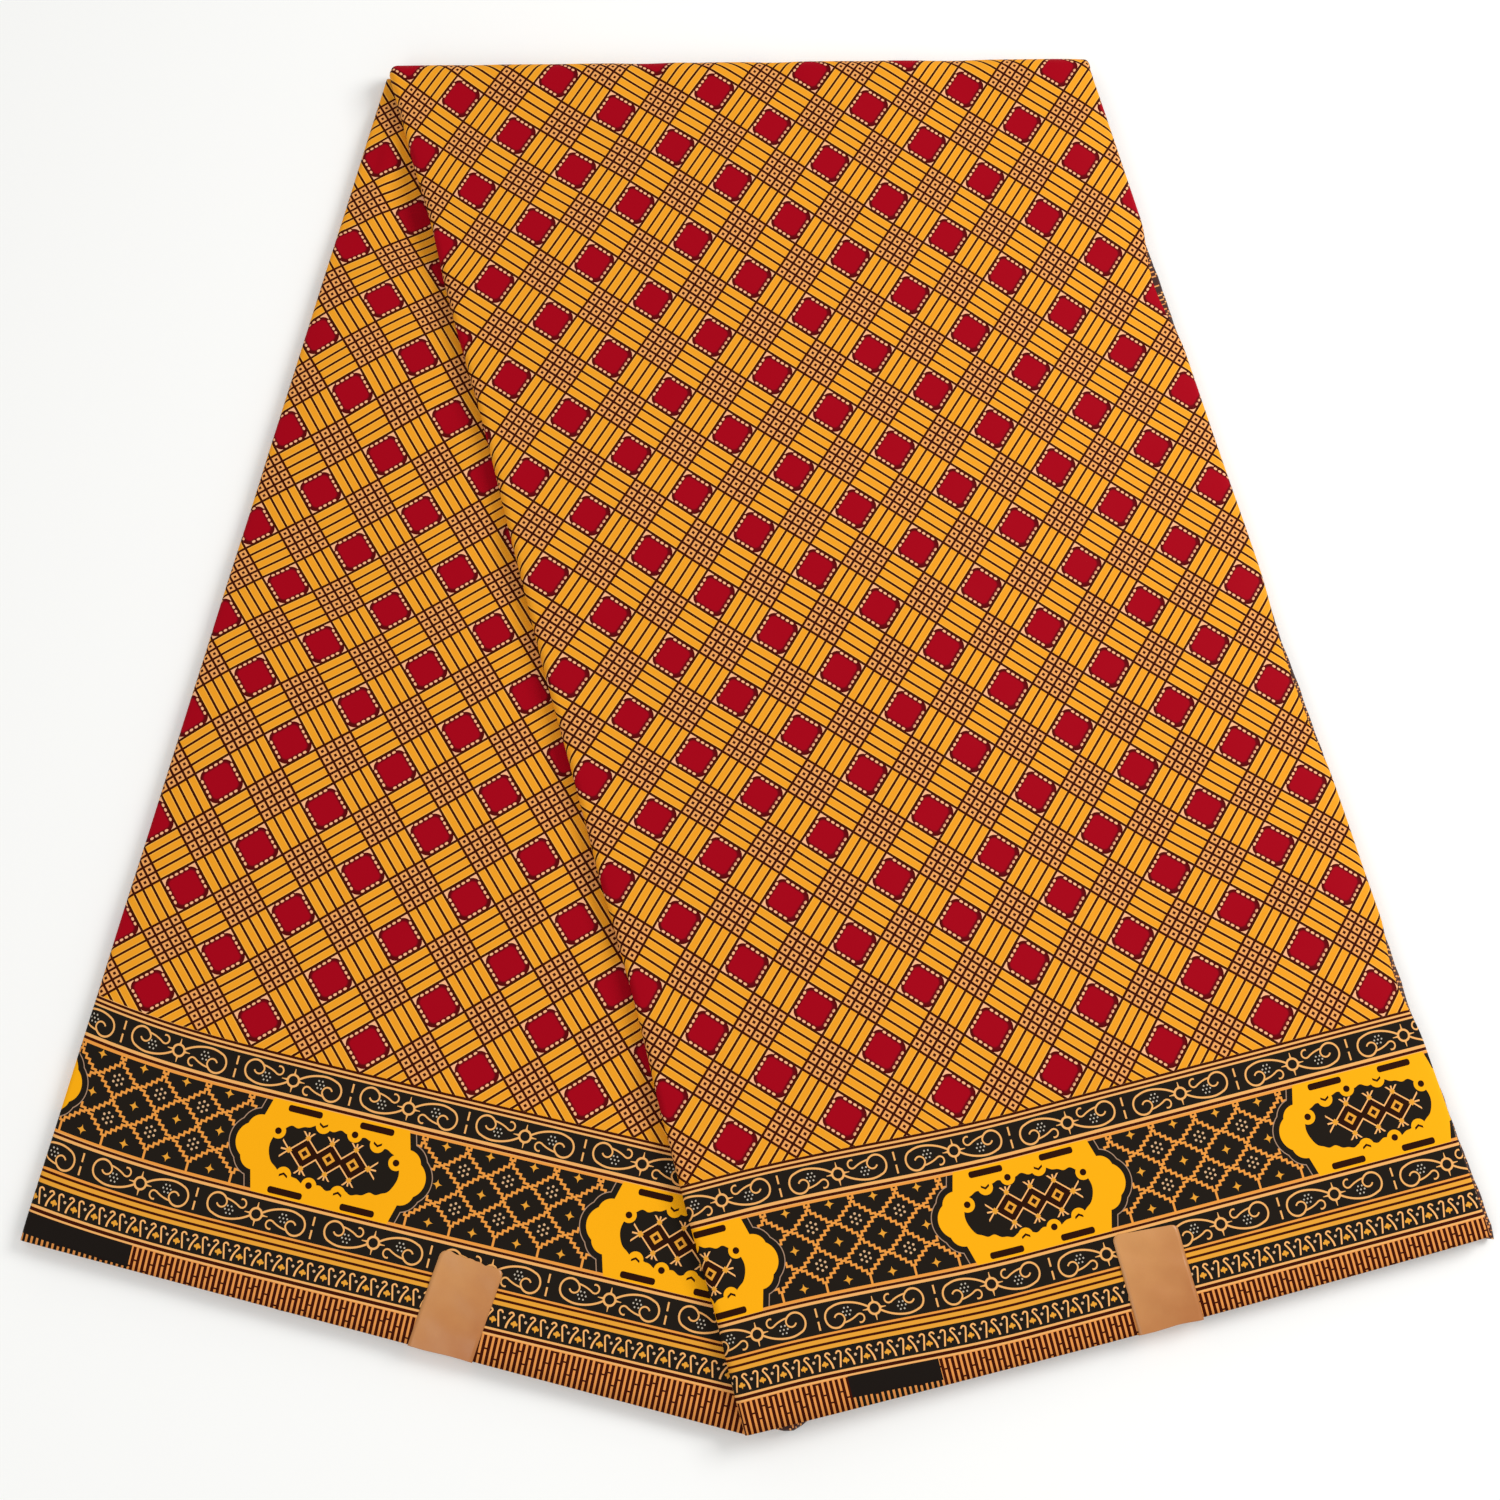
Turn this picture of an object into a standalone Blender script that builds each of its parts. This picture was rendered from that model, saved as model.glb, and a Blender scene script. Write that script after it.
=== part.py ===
# A folded length of printed polyester cloth, laid flat as a fan of two panels.
# The left panel lies below, the right panel lies on top of it with a rolled centre fold,
# and its top edge is turned down behind the pack. Two paper labels bend round the lower hems.
# Metres, +Z up, +Y from the hems to the turned top edge, origin at the middle of the underside.

import math

import bpy
import numpy as np

# Plan of the fan. Every place is first measured from the tip, where the two hems meet.
FOLD_LENGTH = 0.5737
FOLD_LEAN = math.radians(15.33)
TOP_WIDTH = 0.2957
TOP_TILT = math.radians(0.52)
RIGHT_HEM = 0.2880
RIGHT_RISE = math.radians(14.27)
RIGHT_BOW = 0.0015
BOW_FADE = 8
LEFT_HEM = 0.2808
LEFT_RISE = math.radians(14.33)

# Cloth and heights above the surface that the pack lies on.
WALL = 0.0015
GAP = 0.0003
LEFT_HEIGHT = 0.0078
RIGHT_TOP = 0.0139
SINGLE_PACK_DROP = 0.0035
SINGLE_PACK_SPAN = 0.35
HEM_DROOP = 0.0010
HEM_SPAN = 0.012
CROWN_DROP = 0.0012
CROWN_SPAN = 0.018

# Rolled edges. A lip is what turns in under a roll. The fold fills the step between the panels.
FOLD_RADIUS = (RIGHT_TOP - LEFT_HEIGHT - GAP) / 2
EDGE_RADIUS = 0.0022
LIP = 0.0050
WRAP_LIP = 0.0010
ARC_STEPS = 5
ROLL_TURN = math.pi
WRAP_ROLL_TURN = math.radians(60)

# The top edge, turned down behind: a large round, an upright face, a smaller round and a lip.
WRAP_RADIUS = 0.0060
FLOOR_RADIUS = 0.0040
FLOOR_LIP = 0.0030
WRAP_STEPS = 4
UNROLL_SPAN = 0.080
CLEAR = WALL + 2 * GAP
FLOOR_ROOM = 0.0135

# How far the left panel runs on below the right one, and where the upper layers start.
TUCK = 0.0080
UPPER_START = 0.0095
STEP_RUN = 0.0006
APEX_RUN = 0.0100

# The hidden layers: rounded edges with grooves between them, then a step beside the centre fold
# up to the middle of the upper pack. Each room stays free for what lies above it. At the right
# corner the lower layers peek out from under the panel.
LAYERS = 4
GROOVE = 0.0014
BULGE = 0.0002
ROLL_ROOM = 0.0056
LEAST_SHARE = 0.15
RIM_ROOM = 0.0004
UPPER_MIDDLE = 0.0034
LEDGE = 0.0003
LEDGE_SHARE = 1.03
SIDE_SET_BACK = 0.0085
APEX_START = 0.0060
APEX_KINK = 0.0150
APEX_STEP = 0.0180
PEEK = 0.0030
PEEK_SPAN = 0.12
PEEK_FROM = 0.5

# Labels: where each starts along its hem (from the left corner, from the tip), its width,
# its length up the panel, and how far its top leans along the hem.
LABEL_WALL = 0.0006
LABEL_CLEAR = 0.0015
LABEL_COLUMNS = (0.0, 0.25, 0.5, 0.75, 1.0)
LABEL_ROWS = (0.03, 0.11, 0.22, 0.33, 0.5, 0.66, 0.83, 1.0)
LABEL_TURNS = (0, 30, 60, 90)
LEFT_LABEL = {"first": 0.1535, "width": 0.0248, "length": 0.0350, "skew": 0.0015}
RIGHT_LABEL = {"first": 0.1505, "width": 0.0248, "length": 0.0360, "skew": 0.0}

# Colours, linear, and the angle from which an edge is drawn sharp.
CLOTH_COLOUR = (0.62, 0.25, 0.035)
LAYERS_COLOUR = (0.42, 0.14, 0.025)
PAPER_COLOUR = (0.50, 0.25, 0.10)
SHARP_ANGLE = math.radians(40)

# Soft hollows in the left panel beside the centre fold.
# (distance up the fold, half length, depth)
HOLLOWS = (
    (0.110, 0.040, 0.0013),
    (0.205, 0.028, 0.0009),
    (0.345, 0.026, 0.0011),
    (0.420, 0.024, 0.0009),
    (0.515, 0.030, 0.0016),
)
HOLLOW_REACH = 0.022
HOLLOW_ROOM = 0.0018
HOLLOW_ROOM_REACH = 0.044

# Dents in the right edge: (share of the way up, half length as a share, depth)
EDGE_DENTS = (
    (0.20, 0.05, 0.0026),
    (0.45, 0.09, 0.0022),
    (0.79, 0.06, 0.0036),
)

# Low waves that run down from the top edge of the right panel.
# (share of the way across, half width as a share, depth, length down the panel)
TOP_WAVES = (
    (0.36, 0.050, 0.0009, 0.060),
    (0.55, 0.045, 0.0011, 0.045),
    (0.80, 0.060, 0.0008, 0.070),
)

# Stations up the panels and across them, as shares.
ROWS = (0.0, 0.007, 0.014, 0.021, 0.042, 0.064, 0.10, 0.145, 0.19, 0.235, 0.28, 0.33, 0.38, 0.43,
        0.48, 0.53, 0.58, 0.63, 0.675, 0.72, 0.765, 0.81, 0.85, 0.88, 0.905, 0.93, 0.955, 0.975)
RIGHT_COLUMNS = (0.06, 0.12, 0.18, 0.25, 0.32, 0.39, 0.46, 0.53, 0.60, 0.68, 0.76, 0.84, 0.90, 0.95)
LEFT_COLUMNS = (0.05, 0.10, 0.18, 0.28, 0.40, 0.52, 0.64, 0.75, 0.84, 0.91, 0.96)


def toward(length, angle):
    return np.array([length * math.cos(angle), length * math.sin(angle)])


TIP = np.zeros(2)
TOP_LEFT = toward(FOLD_LENGTH, math.pi / 2 + FOLD_LEAN)
TOP_RIGHT = TOP_LEFT + toward(TOP_WIDTH, TOP_TILT)
RIGHT_CORNER = toward(RIGHT_HEM, RIGHT_RISE)
LEFT_CORNER = toward(LEFT_HEM, math.pi - LEFT_RISE)
UP_TOP = toward(1.0, TOP_TILT + math.pi / 2)


def between(a, b, share):
    return a + (b - a) * share


def unit(vectors):
    return vectors / np.linalg.norm(vectors, axis=-1, keepdims=True)


def bump(distance, half_length):
    # A smooth hump, 1 in the middle and 0 from the half length on.
    share = min(1.0, abs(distance) / half_length)
    return (1 - share * share) ** 2


def ease(share):
    share = min(1.0, max(0.0, share))
    return share * share * (3 - 2 * share)


def fold_point(up):
    return between(TIP, TOP_LEFT, up)


def right_edge(up):
    inward = unit(TOP_LEFT - TOP_RIGHT)
    dent = sum(depth * bump(up - at, half) for at, half, depth in EDGE_DENTS)
    return between(RIGHT_CORNER, TOP_RIGHT, up) + inward * dent


def right_width(up):
    return np.linalg.norm(right_edge(up) - fold_point(up))


def left_edge(up):
    return between(LEFT_CORNER, TOP_LEFT, up)


def right_point(across, up):
    # The hem bows out a little between the tip and the right corner.
    bow = -RIGHT_BOW * 4 * across * (1 - across) * (1 - up) ** BOW_FADE
    return between(fold_point(up), right_edge(up), across) + UP_TOP * bow


def droop(up):
    return HEM_DROOP * max(0.0, 1 - up * FOLD_LENGTH / HEM_SPAN) ** 2


def crown(from_edge):
    return CROWN_DROP * max(0.0, 1 - from_edge / CROWN_SPAN) ** 2


def left_height(point, up, hollows=True):
    from_edge = np.linalg.norm(point - left_edge(up))
    from_fold = np.linalg.norm(point - fold_point(up))
    height = LEFT_HEIGHT - droop(up) - crown(from_edge) * bump(from_edge, CROWN_SPAN)
    if hollows:
        near = bump(from_fold, HOLLOW_REACH)
        for at, half, depth in HOLLOWS:
            height -= depth * near * bump(up * FOLD_LENGTH - at, half)
    return height


def right_height(across, up):
    # Both packs lie under the part above the line from the tip to the top right corner,
    # and one pack lies under the rest.
    height = RIGHT_TOP - droop(up)
    height -= SINGLE_PACK_DROP * ease((across - up) / SINGLE_PACK_SPAN)
    height -= crown((1 - across) * right_width(up))
    for at, half, depth, length in TOP_WAVES:
        from_top = (1 - up) * FOLD_LENGTH
        height -= depth * bump(across - at, half) * max(0.0, 1 - from_top / length) ** 2
    return height


def roll(radius, turn, lip):
    # Offsets (into the panel, down from its top) of an edge rolled under, from the lip to the top.
    steps = [turn * (1 - k / ARC_STEPS) for k in range(ARC_STEPS + 1)]
    arc = [(radius * (1 - math.sin(a)), radius * (1 - math.cos(a))) for a in steps]
    end_in, end_down = arc[0]
    lip_end = (end_in - lip * math.cos(turn), end_down + lip * math.sin(turn))
    return [lip_end] + arc


def wrap_rows():
    # The turned top edge as (distance back, drop, tilt of the surface) from where the round starts.
    rows = []
    for k in range(1, WRAP_STEPS + 1):
        tilt = math.pi / 2 * k / WRAP_STEPS
        rows.append((WRAP_RADIUS * math.sin(tilt), WRAP_RADIUS * (1 - math.cos(tilt)), tilt))
    for k in range(WRAP_STEPS + 1):
        tilt = math.pi / 2 * k / WRAP_STEPS
        back = WRAP_RADIUS - FLOOR_RADIUS * (1 - math.cos(tilt))
        drop = RIGHT_TOP - FLOOR_RADIUS * (1 - math.sin(tilt))
        rows.append((back, drop, math.pi / 2 + tilt))
    rows.append((WRAP_RADIUS - FLOOR_RADIUS - FLOOR_LIP, RIGHT_TOP, math.pi))
    return rows


def lying_rows():
    # Flat rows first, then those of the turned top edge, which start one round before the top line.
    last = 1 - WRAP_RADIUS / FOLD_LENGTH
    flat = [(up, 0.0, 0.0, 0.0) for up in ROWS] + [(last, 0.0, 0.0, 0.0)]
    return flat + [(last, back, drop, tilt) for back, drop, tilt in wrap_rows()]


def right_row(up, back, drop, tilt):
    from_wrap = (1 - up) * FOLD_LENGTH - WRAP_RADIUS
    # Toward the turned top edge the side rolls open: first their lips end, then their rounds.
    opened = 1 - from_wrap / UNROLL_SPAN
    lip = between(LIP, WRAP_LIP, ease(2 * opened))
    turn = between(ROLL_TURN, WRAP_ROLL_TURN, ease(2 * opened - 1))
    width = right_width(up)
    chain = [(into / width, down) for into, down in roll(FOLD_RADIUS, turn, lip)]
    chain += [(across, 0.0) for across in RIGHT_COLUMNS]
    chain += [(1 - into / width, down) for into, down in roll(EDGE_RADIUS, turn, lip)[::-1]]
    points = []
    for across, down in chain:
        height = right_height(across, up) * (1 - drop / RIGHT_TOP)
        plan = right_point(across, up) + UP_TOP * (back - down * math.sin(tilt))
        points.append((plan[0], plan[1], height - down * math.cos(tilt)))
    return points


def left_row(up):
    start, end = left_edge(up), fold_point(up)
    width = np.linalg.norm(end - start)
    into_right = unit(right_edge(up) - end)
    chain = roll(EDGE_RADIUS, ROLL_TURN, LIP)
    chain += [(between(EDGE_RADIUS, width, across), 0.0) for across in LEFT_COLUMNS]
    points = []
    for into, down in chain:
        plan = start + unit(end - start) * into
        # The whole roll hangs from the height of the panel where the roll starts.
        beside = start + unit(end - start) * (EDGE_RADIUS if down else into)
        points.append((plan[0], plan[1], left_height(beside, up) - down))
    for run_on in (0.0, TUCK):
        plan = end + into_right * run_on
        points.append((plan[0], plan[1], left_height(end, up)))
    return points


def faces_between(rows, columns, offset=0, flip=False):
    # Quads of a grid of points that is stored row by row.
    quads = []
    for j in range(rows - 1):
        for i in range(columns - 1):
            a = offset + j * columns + i
            quad = (a, a + 1, a + columns + 1, a + columns)
            quads.append(quad[::-1] if flip else quad)
    return quads


def along(grid, axis):
    # The direction of a grid at each point, halfway between its segments on both sides.
    step = unit(np.diff(grid, axis=axis))
    before = np.concatenate([np.take(step, [0], axis=axis), step], axis=axis)
    after = np.concatenate([step, np.take(step, [-1], axis=axis)], axis=axis)
    return unit(before + after)


def sheet_mesh(grid, wall):
    # A closed wall: the grid is its outer face, and the inner face lies one wall below it.
    rows, columns, _ = grid.shape
    normals = unit(np.cross(along(grid, 1), along(grid, 0)))
    inner = grid - normals * wall
    count = rows * columns
    faces = faces_between(rows, columns) + faces_between(rows, columns, count, True)
    rim = list(range(columns))
    rim += [j * columns + columns - 1 for j in range(1, rows)]
    rim += [(rows - 1) * columns + i for i in range(columns - 2, -1, -1)]
    rim += [j * columns for j in range(rows - 2, 0, -1)]
    for a, b in zip(rim, rim[1:] + rim[:1]):
        faces.append((b, a, a + count, b + count))
    return np.concatenate([grid.reshape(-1, 3), inner.reshape(-1, 3)]), faces


def layer_levels():
    # Height rule and set-backs of each ring of the hidden layers, from the floor up.
    # (share of the lower layers, height below the panel's top, side, hem)
    levels = []
    for k in range(2 * LAYERS + 1):
        inset = GROOVE if k % 2 == 0 else BULGE
        levels.append((k / (2 * LAYERS), None, inset, inset))
    levels.append((LEDGE_SHARE, None, SIDE_SET_BACK, GROOVE + LEDGE))
    levels.append((None, UPPER_MIDDLE, SIDE_SET_BACK, BULGE))
    levels.append((None, WALL + GAP, SIDE_SET_BACK, GROOVE - LEDGE))
    return levels


def back_room(height):
    # How far the hidden layers stay from the back of the turned top edge at this height.
    if height < CLEAR:
        return FLOOR_ROOM
    lower_rise = FLOOR_RADIUS - height
    upper_rise = height - (RIGHT_TOP - WRAP_RADIUS)
    if lower_rise > 0:
        return FLOOR_RADIUS - math.sqrt((FLOOR_RADIUS - CLEAR) ** 2 - lower_rise ** 2)
    if upper_rise > 0:
        return WRAP_RADIUS - math.sqrt(max(0.0, (WRAP_RADIUS - CLEAR) ** 2 - upper_rise ** 2))
    return CLEAR


def hidden_columns(up):
    # Plan points of one row of the hidden layers from left to right, with the height of the
    # panel's top above each. The step between the two packs is the pair after the left columns.
    start = between(LEFT_CORNER, TOP_LEFT + toward(APEX_START, TOP_TILT), up)
    kink = between(TIP, TOP_LEFT + toward(APEX_KINK, TOP_TILT), up)
    inner = start + unit(kink - start) * SIDE_SET_BACK
    into_right = unit(right_edge(up) - fold_point(up))
    step_at = between(UPPER_START, APEX_STEP, up)
    step = fold_point(up) + into_right * step_at
    columns = []
    for share in (0.0,) + LEFT_COLUMNS[1::2] + (1.0,):
        plan = between(inner, kink, share)
        near_fold = bump(np.linalg.norm(plan - fold_point(up)), HOLLOW_ROOM_REACH)
        height = left_height(plan, up, False) - HOLLOW_ROOM * near_fold
        columns.append((plan, height) if share else (start, height - RIM_ROOM))
    columns.append((step, columns[-1][1]))
    width = right_width(up)
    first = (step_at + between(STEP_RUN, APEX_RUN, up)) / width
    for across in (first,) + RIGHT_COLUMNS[1:]:
        columns.append((right_point(across, up), right_height(across, up)))
    rim_height = right_height(1 - SIDE_SET_BACK / width, up) - RIM_ROOM
    columns.append((right_point(1.0, up), rim_height))
    return columns


def hidden_mesh():
    ups = list(ROWS[:-1]) + [1.0]
    rows = [hidden_columns(up) for up in ups]
    last_row, last_column = len(rows) - 1, len(rows[0]) - 1
    levels = layer_levels()
    points = []

    def place(j, i, level):
        share, below, side, hem = level
        plan, top = rows[j][i]
        if j == last_row:
            side = min(side, GROOVE)
        if i == 0:
            plan = plan + unit(rows[j][1][0] - plan) * side
        if i == last_column:
            peeks = below is None and PEEK_FROM < share <= 1
            reach = PEEK * max(0.0, 1 - ups[j] / PEEK_SPAN) if peeks else 0.0
            corner = APEX_START if j == last_row else 0.0
            plan = plan + unit(rows[j][i - 1][0] - plan) * (side - reach + corner)
        if j == 0:
            plan = plan + UP_TOP * hem
        lower = max(top - ROLL_ROOM, LEAST_SHARE * top)
        height = share * lower if below is None else top - below
        if j == last_row:
            plan = plan - UP_TOP * back_room(height)
        points.append((plan[0], plan[1], height))
        return len(points) - 1

    outline = [(0, i) for i in range(last_column)]
    outline += [(j, last_column) for j in range(last_row)]
    outline += [(last_row, i) for i in range(last_column, 0, -1)]
    outline += [(j, 0) for j in range(last_row, 0, -1)]
    rings = [[place(j, i, level) for j, i in outline] for level in levels]
    faces = [tuple(rings[0][::-1])]
    for lower, upper in zip(rings, rings[1:]):
        for k in range(len(outline)):
            n = (k + 1) % len(outline)
            faces.append((lower[k], lower[n], upper[n], upper[k]))
    top = {spot: index for spot, index in zip(outline, rings[-1])}
    for j in range(1, last_row):
        for i in range(1, last_column):
            top[(j, i)] = place(j, i, levels[-1])
    for j in range(last_row):
        for i in range(last_column):
            faces.append((top[(j, i)], top[(j, i + 1)], top[(j + 1, i + 1)], top[(j + 1, i)]))
    return np.array(points), faces


def on_right(along_hem, up_panel):
    # A place on the right panel's face, from the tip along its hem and up from it.
    across, up = along_hem / RIGHT_HEM, up_panel / FOLD_LENGTH
    return right_point(across, up), right_height(across, up)


def on_left(along_hem, up_panel):
    # The same on the left panel, from its left corner.
    run = unit(TIP - LEFT_CORNER)
    rise = np.array([-run[1], run[0]])
    point = LEFT_CORNER + run * along_hem + rise * up_panel
    share = along_hem / LEFT_HEM
    edge_length = np.linalg.norm(TOP_LEFT - LEFT_CORNER)
    up = up_panel / between(edge_length, FOLD_LENGTH, share)
    return point, left_height(point, up)


def label_mesh(place, first, width, length, skew, hem_angle):
    # A strip from the face of a panel, over its hem and down the side of the pack.
    out = toward(1.0, hem_angle - math.pi / 2)
    lift = GAP + LABEL_WALL
    rows = []
    for turn in LABEL_TURNS[::-1]:
        angle = math.radians(turn)
        spots = [place(first + width * k, 0.0) for k in LABEL_COLUMNS]
        rows.append([(*(plan + out * lift * math.sin(angle)), height + lift * math.cos(angle))
                     for plan, height in spots])
    foot = [(x, y, LABEL_CLEAR) for x, y, _ in rows[0]]
    for share in LABEL_ROWS:
        spots = [place(first + width * k + skew * share, length * share) for k in LABEL_COLUMNS]
        rows.append([(*plan, height + lift) for plan, height in spots])
    return sheet_mesh(np.array([foot] + rows), LABEL_WALL)


def material(name, colour, roughness):
    finish = bpy.data.materials.new(name)
    finish.use_nodes = True
    shader = finish.node_tree.nodes["Principled BSDF"]
    shader.inputs["Base Color"].default_value = (*colour, 1.0)
    shader.inputs["Roughness"].default_value = roughness
    shader.inputs["Metallic"].default_value = 0.0
    finish.diffuse_color = (*colour, 1.0)
    return finish


def add_object(name, points, faces, finish):
    mesh = bpy.data.meshes.new(name)
    mesh.from_pydata([tuple(p) for p in points], [], faces)
    mesh.update()
    mesh.materials.append(finish)
    mesh.shade_smooth()
    mesh.set_sharp_from_angle(angle=SHARP_ANGLE)
    piece = bpy.data.objects.new(name, mesh)
    bpy.context.scene.collection.objects.link(piece)
    return piece


def main():
    for old in list(bpy.data.objects):
        bpy.data.objects.remove(old, do_unlink=True)

    right_grid = np.array([right_row(*row) for row in lying_rows()])
    left_grid = np.array([left_row(up) for up in ROWS])
    meshes = {
        "hidden_layers": hidden_mesh(),
        "left_panel": sheet_mesh(left_grid, WALL),
        "right_panel": sheet_mesh(right_grid, WALL),
        "left_label": label_mesh(on_left, **LEFT_LABEL, hem_angle=-LEFT_RISE),
        "right_label": label_mesh(on_right, **RIGHT_LABEL, hem_angle=RIGHT_RISE),
    }

    # The origin goes to the middle of the underside.
    every_point = np.concatenate([points for points, _ in meshes.values()])
    middle = (every_point.min(axis=0) + every_point.max(axis=0)) / 2
    middle[2] = 0.0
    cloth = material("printed_cloth", CLOTH_COLOUR, 0.75)
    layers = material("folded_cloth", LAYERS_COLOUR, 0.80)
    paper = material("satin_paper", PAPER_COLOUR, 0.35)
    finishes = {"hidden_layers": layers, "left_label": paper, "right_label": paper}
    for name, (points, faces) in meshes.items():
        add_object(name, points - middle, faces, finishes.get(name, cloth))


main()
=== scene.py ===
import math

import bpy
import numpy as np
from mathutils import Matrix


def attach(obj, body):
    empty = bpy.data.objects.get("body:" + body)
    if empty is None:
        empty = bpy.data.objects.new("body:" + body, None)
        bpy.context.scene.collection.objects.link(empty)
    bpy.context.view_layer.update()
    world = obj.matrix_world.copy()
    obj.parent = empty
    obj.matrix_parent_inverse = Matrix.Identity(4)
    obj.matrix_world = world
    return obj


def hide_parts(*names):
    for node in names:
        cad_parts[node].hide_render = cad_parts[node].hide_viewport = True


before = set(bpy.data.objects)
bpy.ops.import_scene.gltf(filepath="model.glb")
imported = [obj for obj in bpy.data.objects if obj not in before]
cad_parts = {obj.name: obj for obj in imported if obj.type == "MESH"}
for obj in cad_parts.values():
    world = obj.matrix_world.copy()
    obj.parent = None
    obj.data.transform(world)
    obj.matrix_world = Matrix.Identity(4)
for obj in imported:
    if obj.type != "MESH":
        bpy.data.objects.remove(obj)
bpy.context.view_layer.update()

# The pack is two folded strips of one cloth, fanned from the top left corner.
# Plan places are in metres from the tip, where the two hems meet.
fan = {
    "tip": (-0.004926, -0.278437),  # from the middle of the pack
    "foldLength": 0.5737,
    "foldLean": 15.33,
    "topWidth": 0.2957,
    "topTilt": 0.52,
    "rightHem": 0.2880,
    "rightRise": 14.27,
    "rightBow": 0.0015,
    "bowFade": 8,
    "leftHem": 0.2808,
    "leftRise": 14.33,
    # up the right edge, half length, depth, as shares and metres
    "edgeDents": ((0.20, 0.05, 0.0026), (0.45, 0.09, 0.0022), (0.79, 0.06, 0.0036)),
    "clothThickness": 0.00035,
}
# Heights over the floor, and what takes them down near the edges.
relief = {
    "leftTop": 0.0078,
    "rightTop": 0.0139,
    "singlePackDrop": 0.0035,
    "singlePackSpan": 0.35,
    "hemDroop": 0.0010,
    "hemSpan": 0.012,
    "crownDrop": 0.0012,
    "crownSpan": 0.018,
    "waveRoom": 0.0003,
    "foldCalm": 4,  # how fast the unevenness grows with distance from the fold
    "hollowReach": 0.026,
    # up the fold, half length, depth
    "hollows": ((0.110, 0.040, 0.0014), (0.150, 0.012, 0.0006), (0.205, 0.028, 0.0010),
                (0.262, 0.014, 0.0005), (0.345, 0.026, 0.0013), (0.420, 0.024, 0.0010),
                (0.455, 0.018, 0.0010), (0.500, 0.036, 0.0038)),
    # across the top edge, half width, depth, length down the panel
    "topWaves": ((0.12, 0.040, 0.0006, 0.050), (0.36, 0.050, 0.0010, 0.060),
                 (0.44, 0.025, 0.0006, 0.035), (0.55, 0.045, 0.0012, 0.045),
                 (0.68, 0.030, 0.0005, 0.040), (0.80, 0.060, 0.0009, 0.070)),
}


def toward(length, degrees):
    return length * np.array([math.cos(math.radians(degrees)), math.sin(math.radians(degrees))])


def between(a, b, share):
    return a + (b - a) * share


def unit(v):
    return v / np.linalg.norm(v, axis=-1, keepdims=True)


def bump(distance, half):
    return np.maximum(0.0, 1 - (np.asarray(distance) / half) ** 2) ** 2


def ease(share):
    share = np.clip(share, 0.0, 1.0)
    return share * share * (3 - 2 * share)


def fading(distance, span):
    return np.maximum(0.0, 1 - np.asarray(distance) / span) ** 2


def col(values):
    return np.asarray(values)[..., None]


def apart(a, b):
    return np.linalg.norm(a - b, axis=-1)


def raised(plan, height):
    return np.concatenate([plan, col(height)], -1)


tip = np.zeros(2)
topLeft = toward(fan["foldLength"], 90 + fan["foldLean"])
topRight = topLeft + toward(fan["topWidth"], fan["topTilt"])
rightCorner = toward(fan["rightHem"], fan["rightRise"])
leftCorner = toward(fan["leftHem"], 180 - fan["leftRise"])
upTop = toward(1.0, fan["topTilt"] + 90)
acrossTop = np.array([upTop[1], -upTop[0]])
fromMiddle = np.array([*fan["tip"], 0.0])
# about how tall a whole column of cloth is, square to the hem, as each use takes it
columnTall = {"bands": 0.54, "pack": 0.538, "droop": 0.55, "underlayer": 0.50}


def foldAt(up):
    return between(tip, topLeft, col(up))


def leftEdgeAt(up):
    return between(leftCorner, topLeft, col(up))


def rightEdgeAt(up):
    dent = sum(depth * bump(up - at, half) for at, half, depth in fan["edgeDents"])
    return between(rightCorner, topRight, col(up)) + unit(topLeft - topRight) * col(dent)


def rightPlan(across, up):
    bow = -fan["rightBow"] * 4 * across * (1 - across) * (1 - up) ** fan["bowFade"]
    return between(foldAt(up), rightEdgeAt(up), col(across)) + upTop * col(bow)


def rightWidth(up):
    return apart(rightEdgeAt(up), foldAt(up))


# slow unevenness of cloth that lies on cloth, as a few crossing waves: length, heading, height
unevenness = ((0.083, 24, 0.00013), (0.061, 101, 0.00011), (0.047, 66, 0.00007), (0.037, 152, 0.00006))
phaseStep = 1.7


def uneven(plan, phase=0.0):
    rise = 0.0
    for k, (length, heading, height) in enumerate(unevenness):
        run = plan @ toward(1.0, heading)
        rise = rise + height * np.sin(2 * math.pi * run / length + phase + phaseStep * k)
    return rise


def hemDroop(up, tall=fan["foldLength"]):
    return relief["hemDroop"] * fading(up * tall, relief["hemSpan"])


def leftHeight(plan, up):
    height = relief["leftTop"] - hemDroop(up)
    height = height - relief["crownDrop"] * fading(apart(plan, leftEdgeAt(up)), relief["crownSpan"])
    besideFold = bump(apart(plan, foldAt(up)), relief["hollowReach"])
    for at, half, depth in relief["hollows"]:
        height = height - depth * besideFold * bump(up * fan["foldLength"] - at, half)
    return height + uneven(plan, phase=0.6) - relief["waveRoom"]


def rightHeight(across, up):
    height = relief["rightTop"] - hemDroop(up)
    height = height - relief["singlePackDrop"] * ease((across - up) / relief["singlePackSpan"])
    height = height - relief["crownDrop"] * fading((1 - across) * rightWidth(up), relief["crownSpan"])
    for at, half, depth, length in relief["topWaves"]:
        height = height - depth * bump(across - at, half) * fading((1 - up) * fan["foldLength"], length)
    calm = np.minimum(1.0, relief["foldCalm"] * across)
    return height + uneven(rightPlan(across, up)) * calm - relief["waveRoom"]


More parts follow.
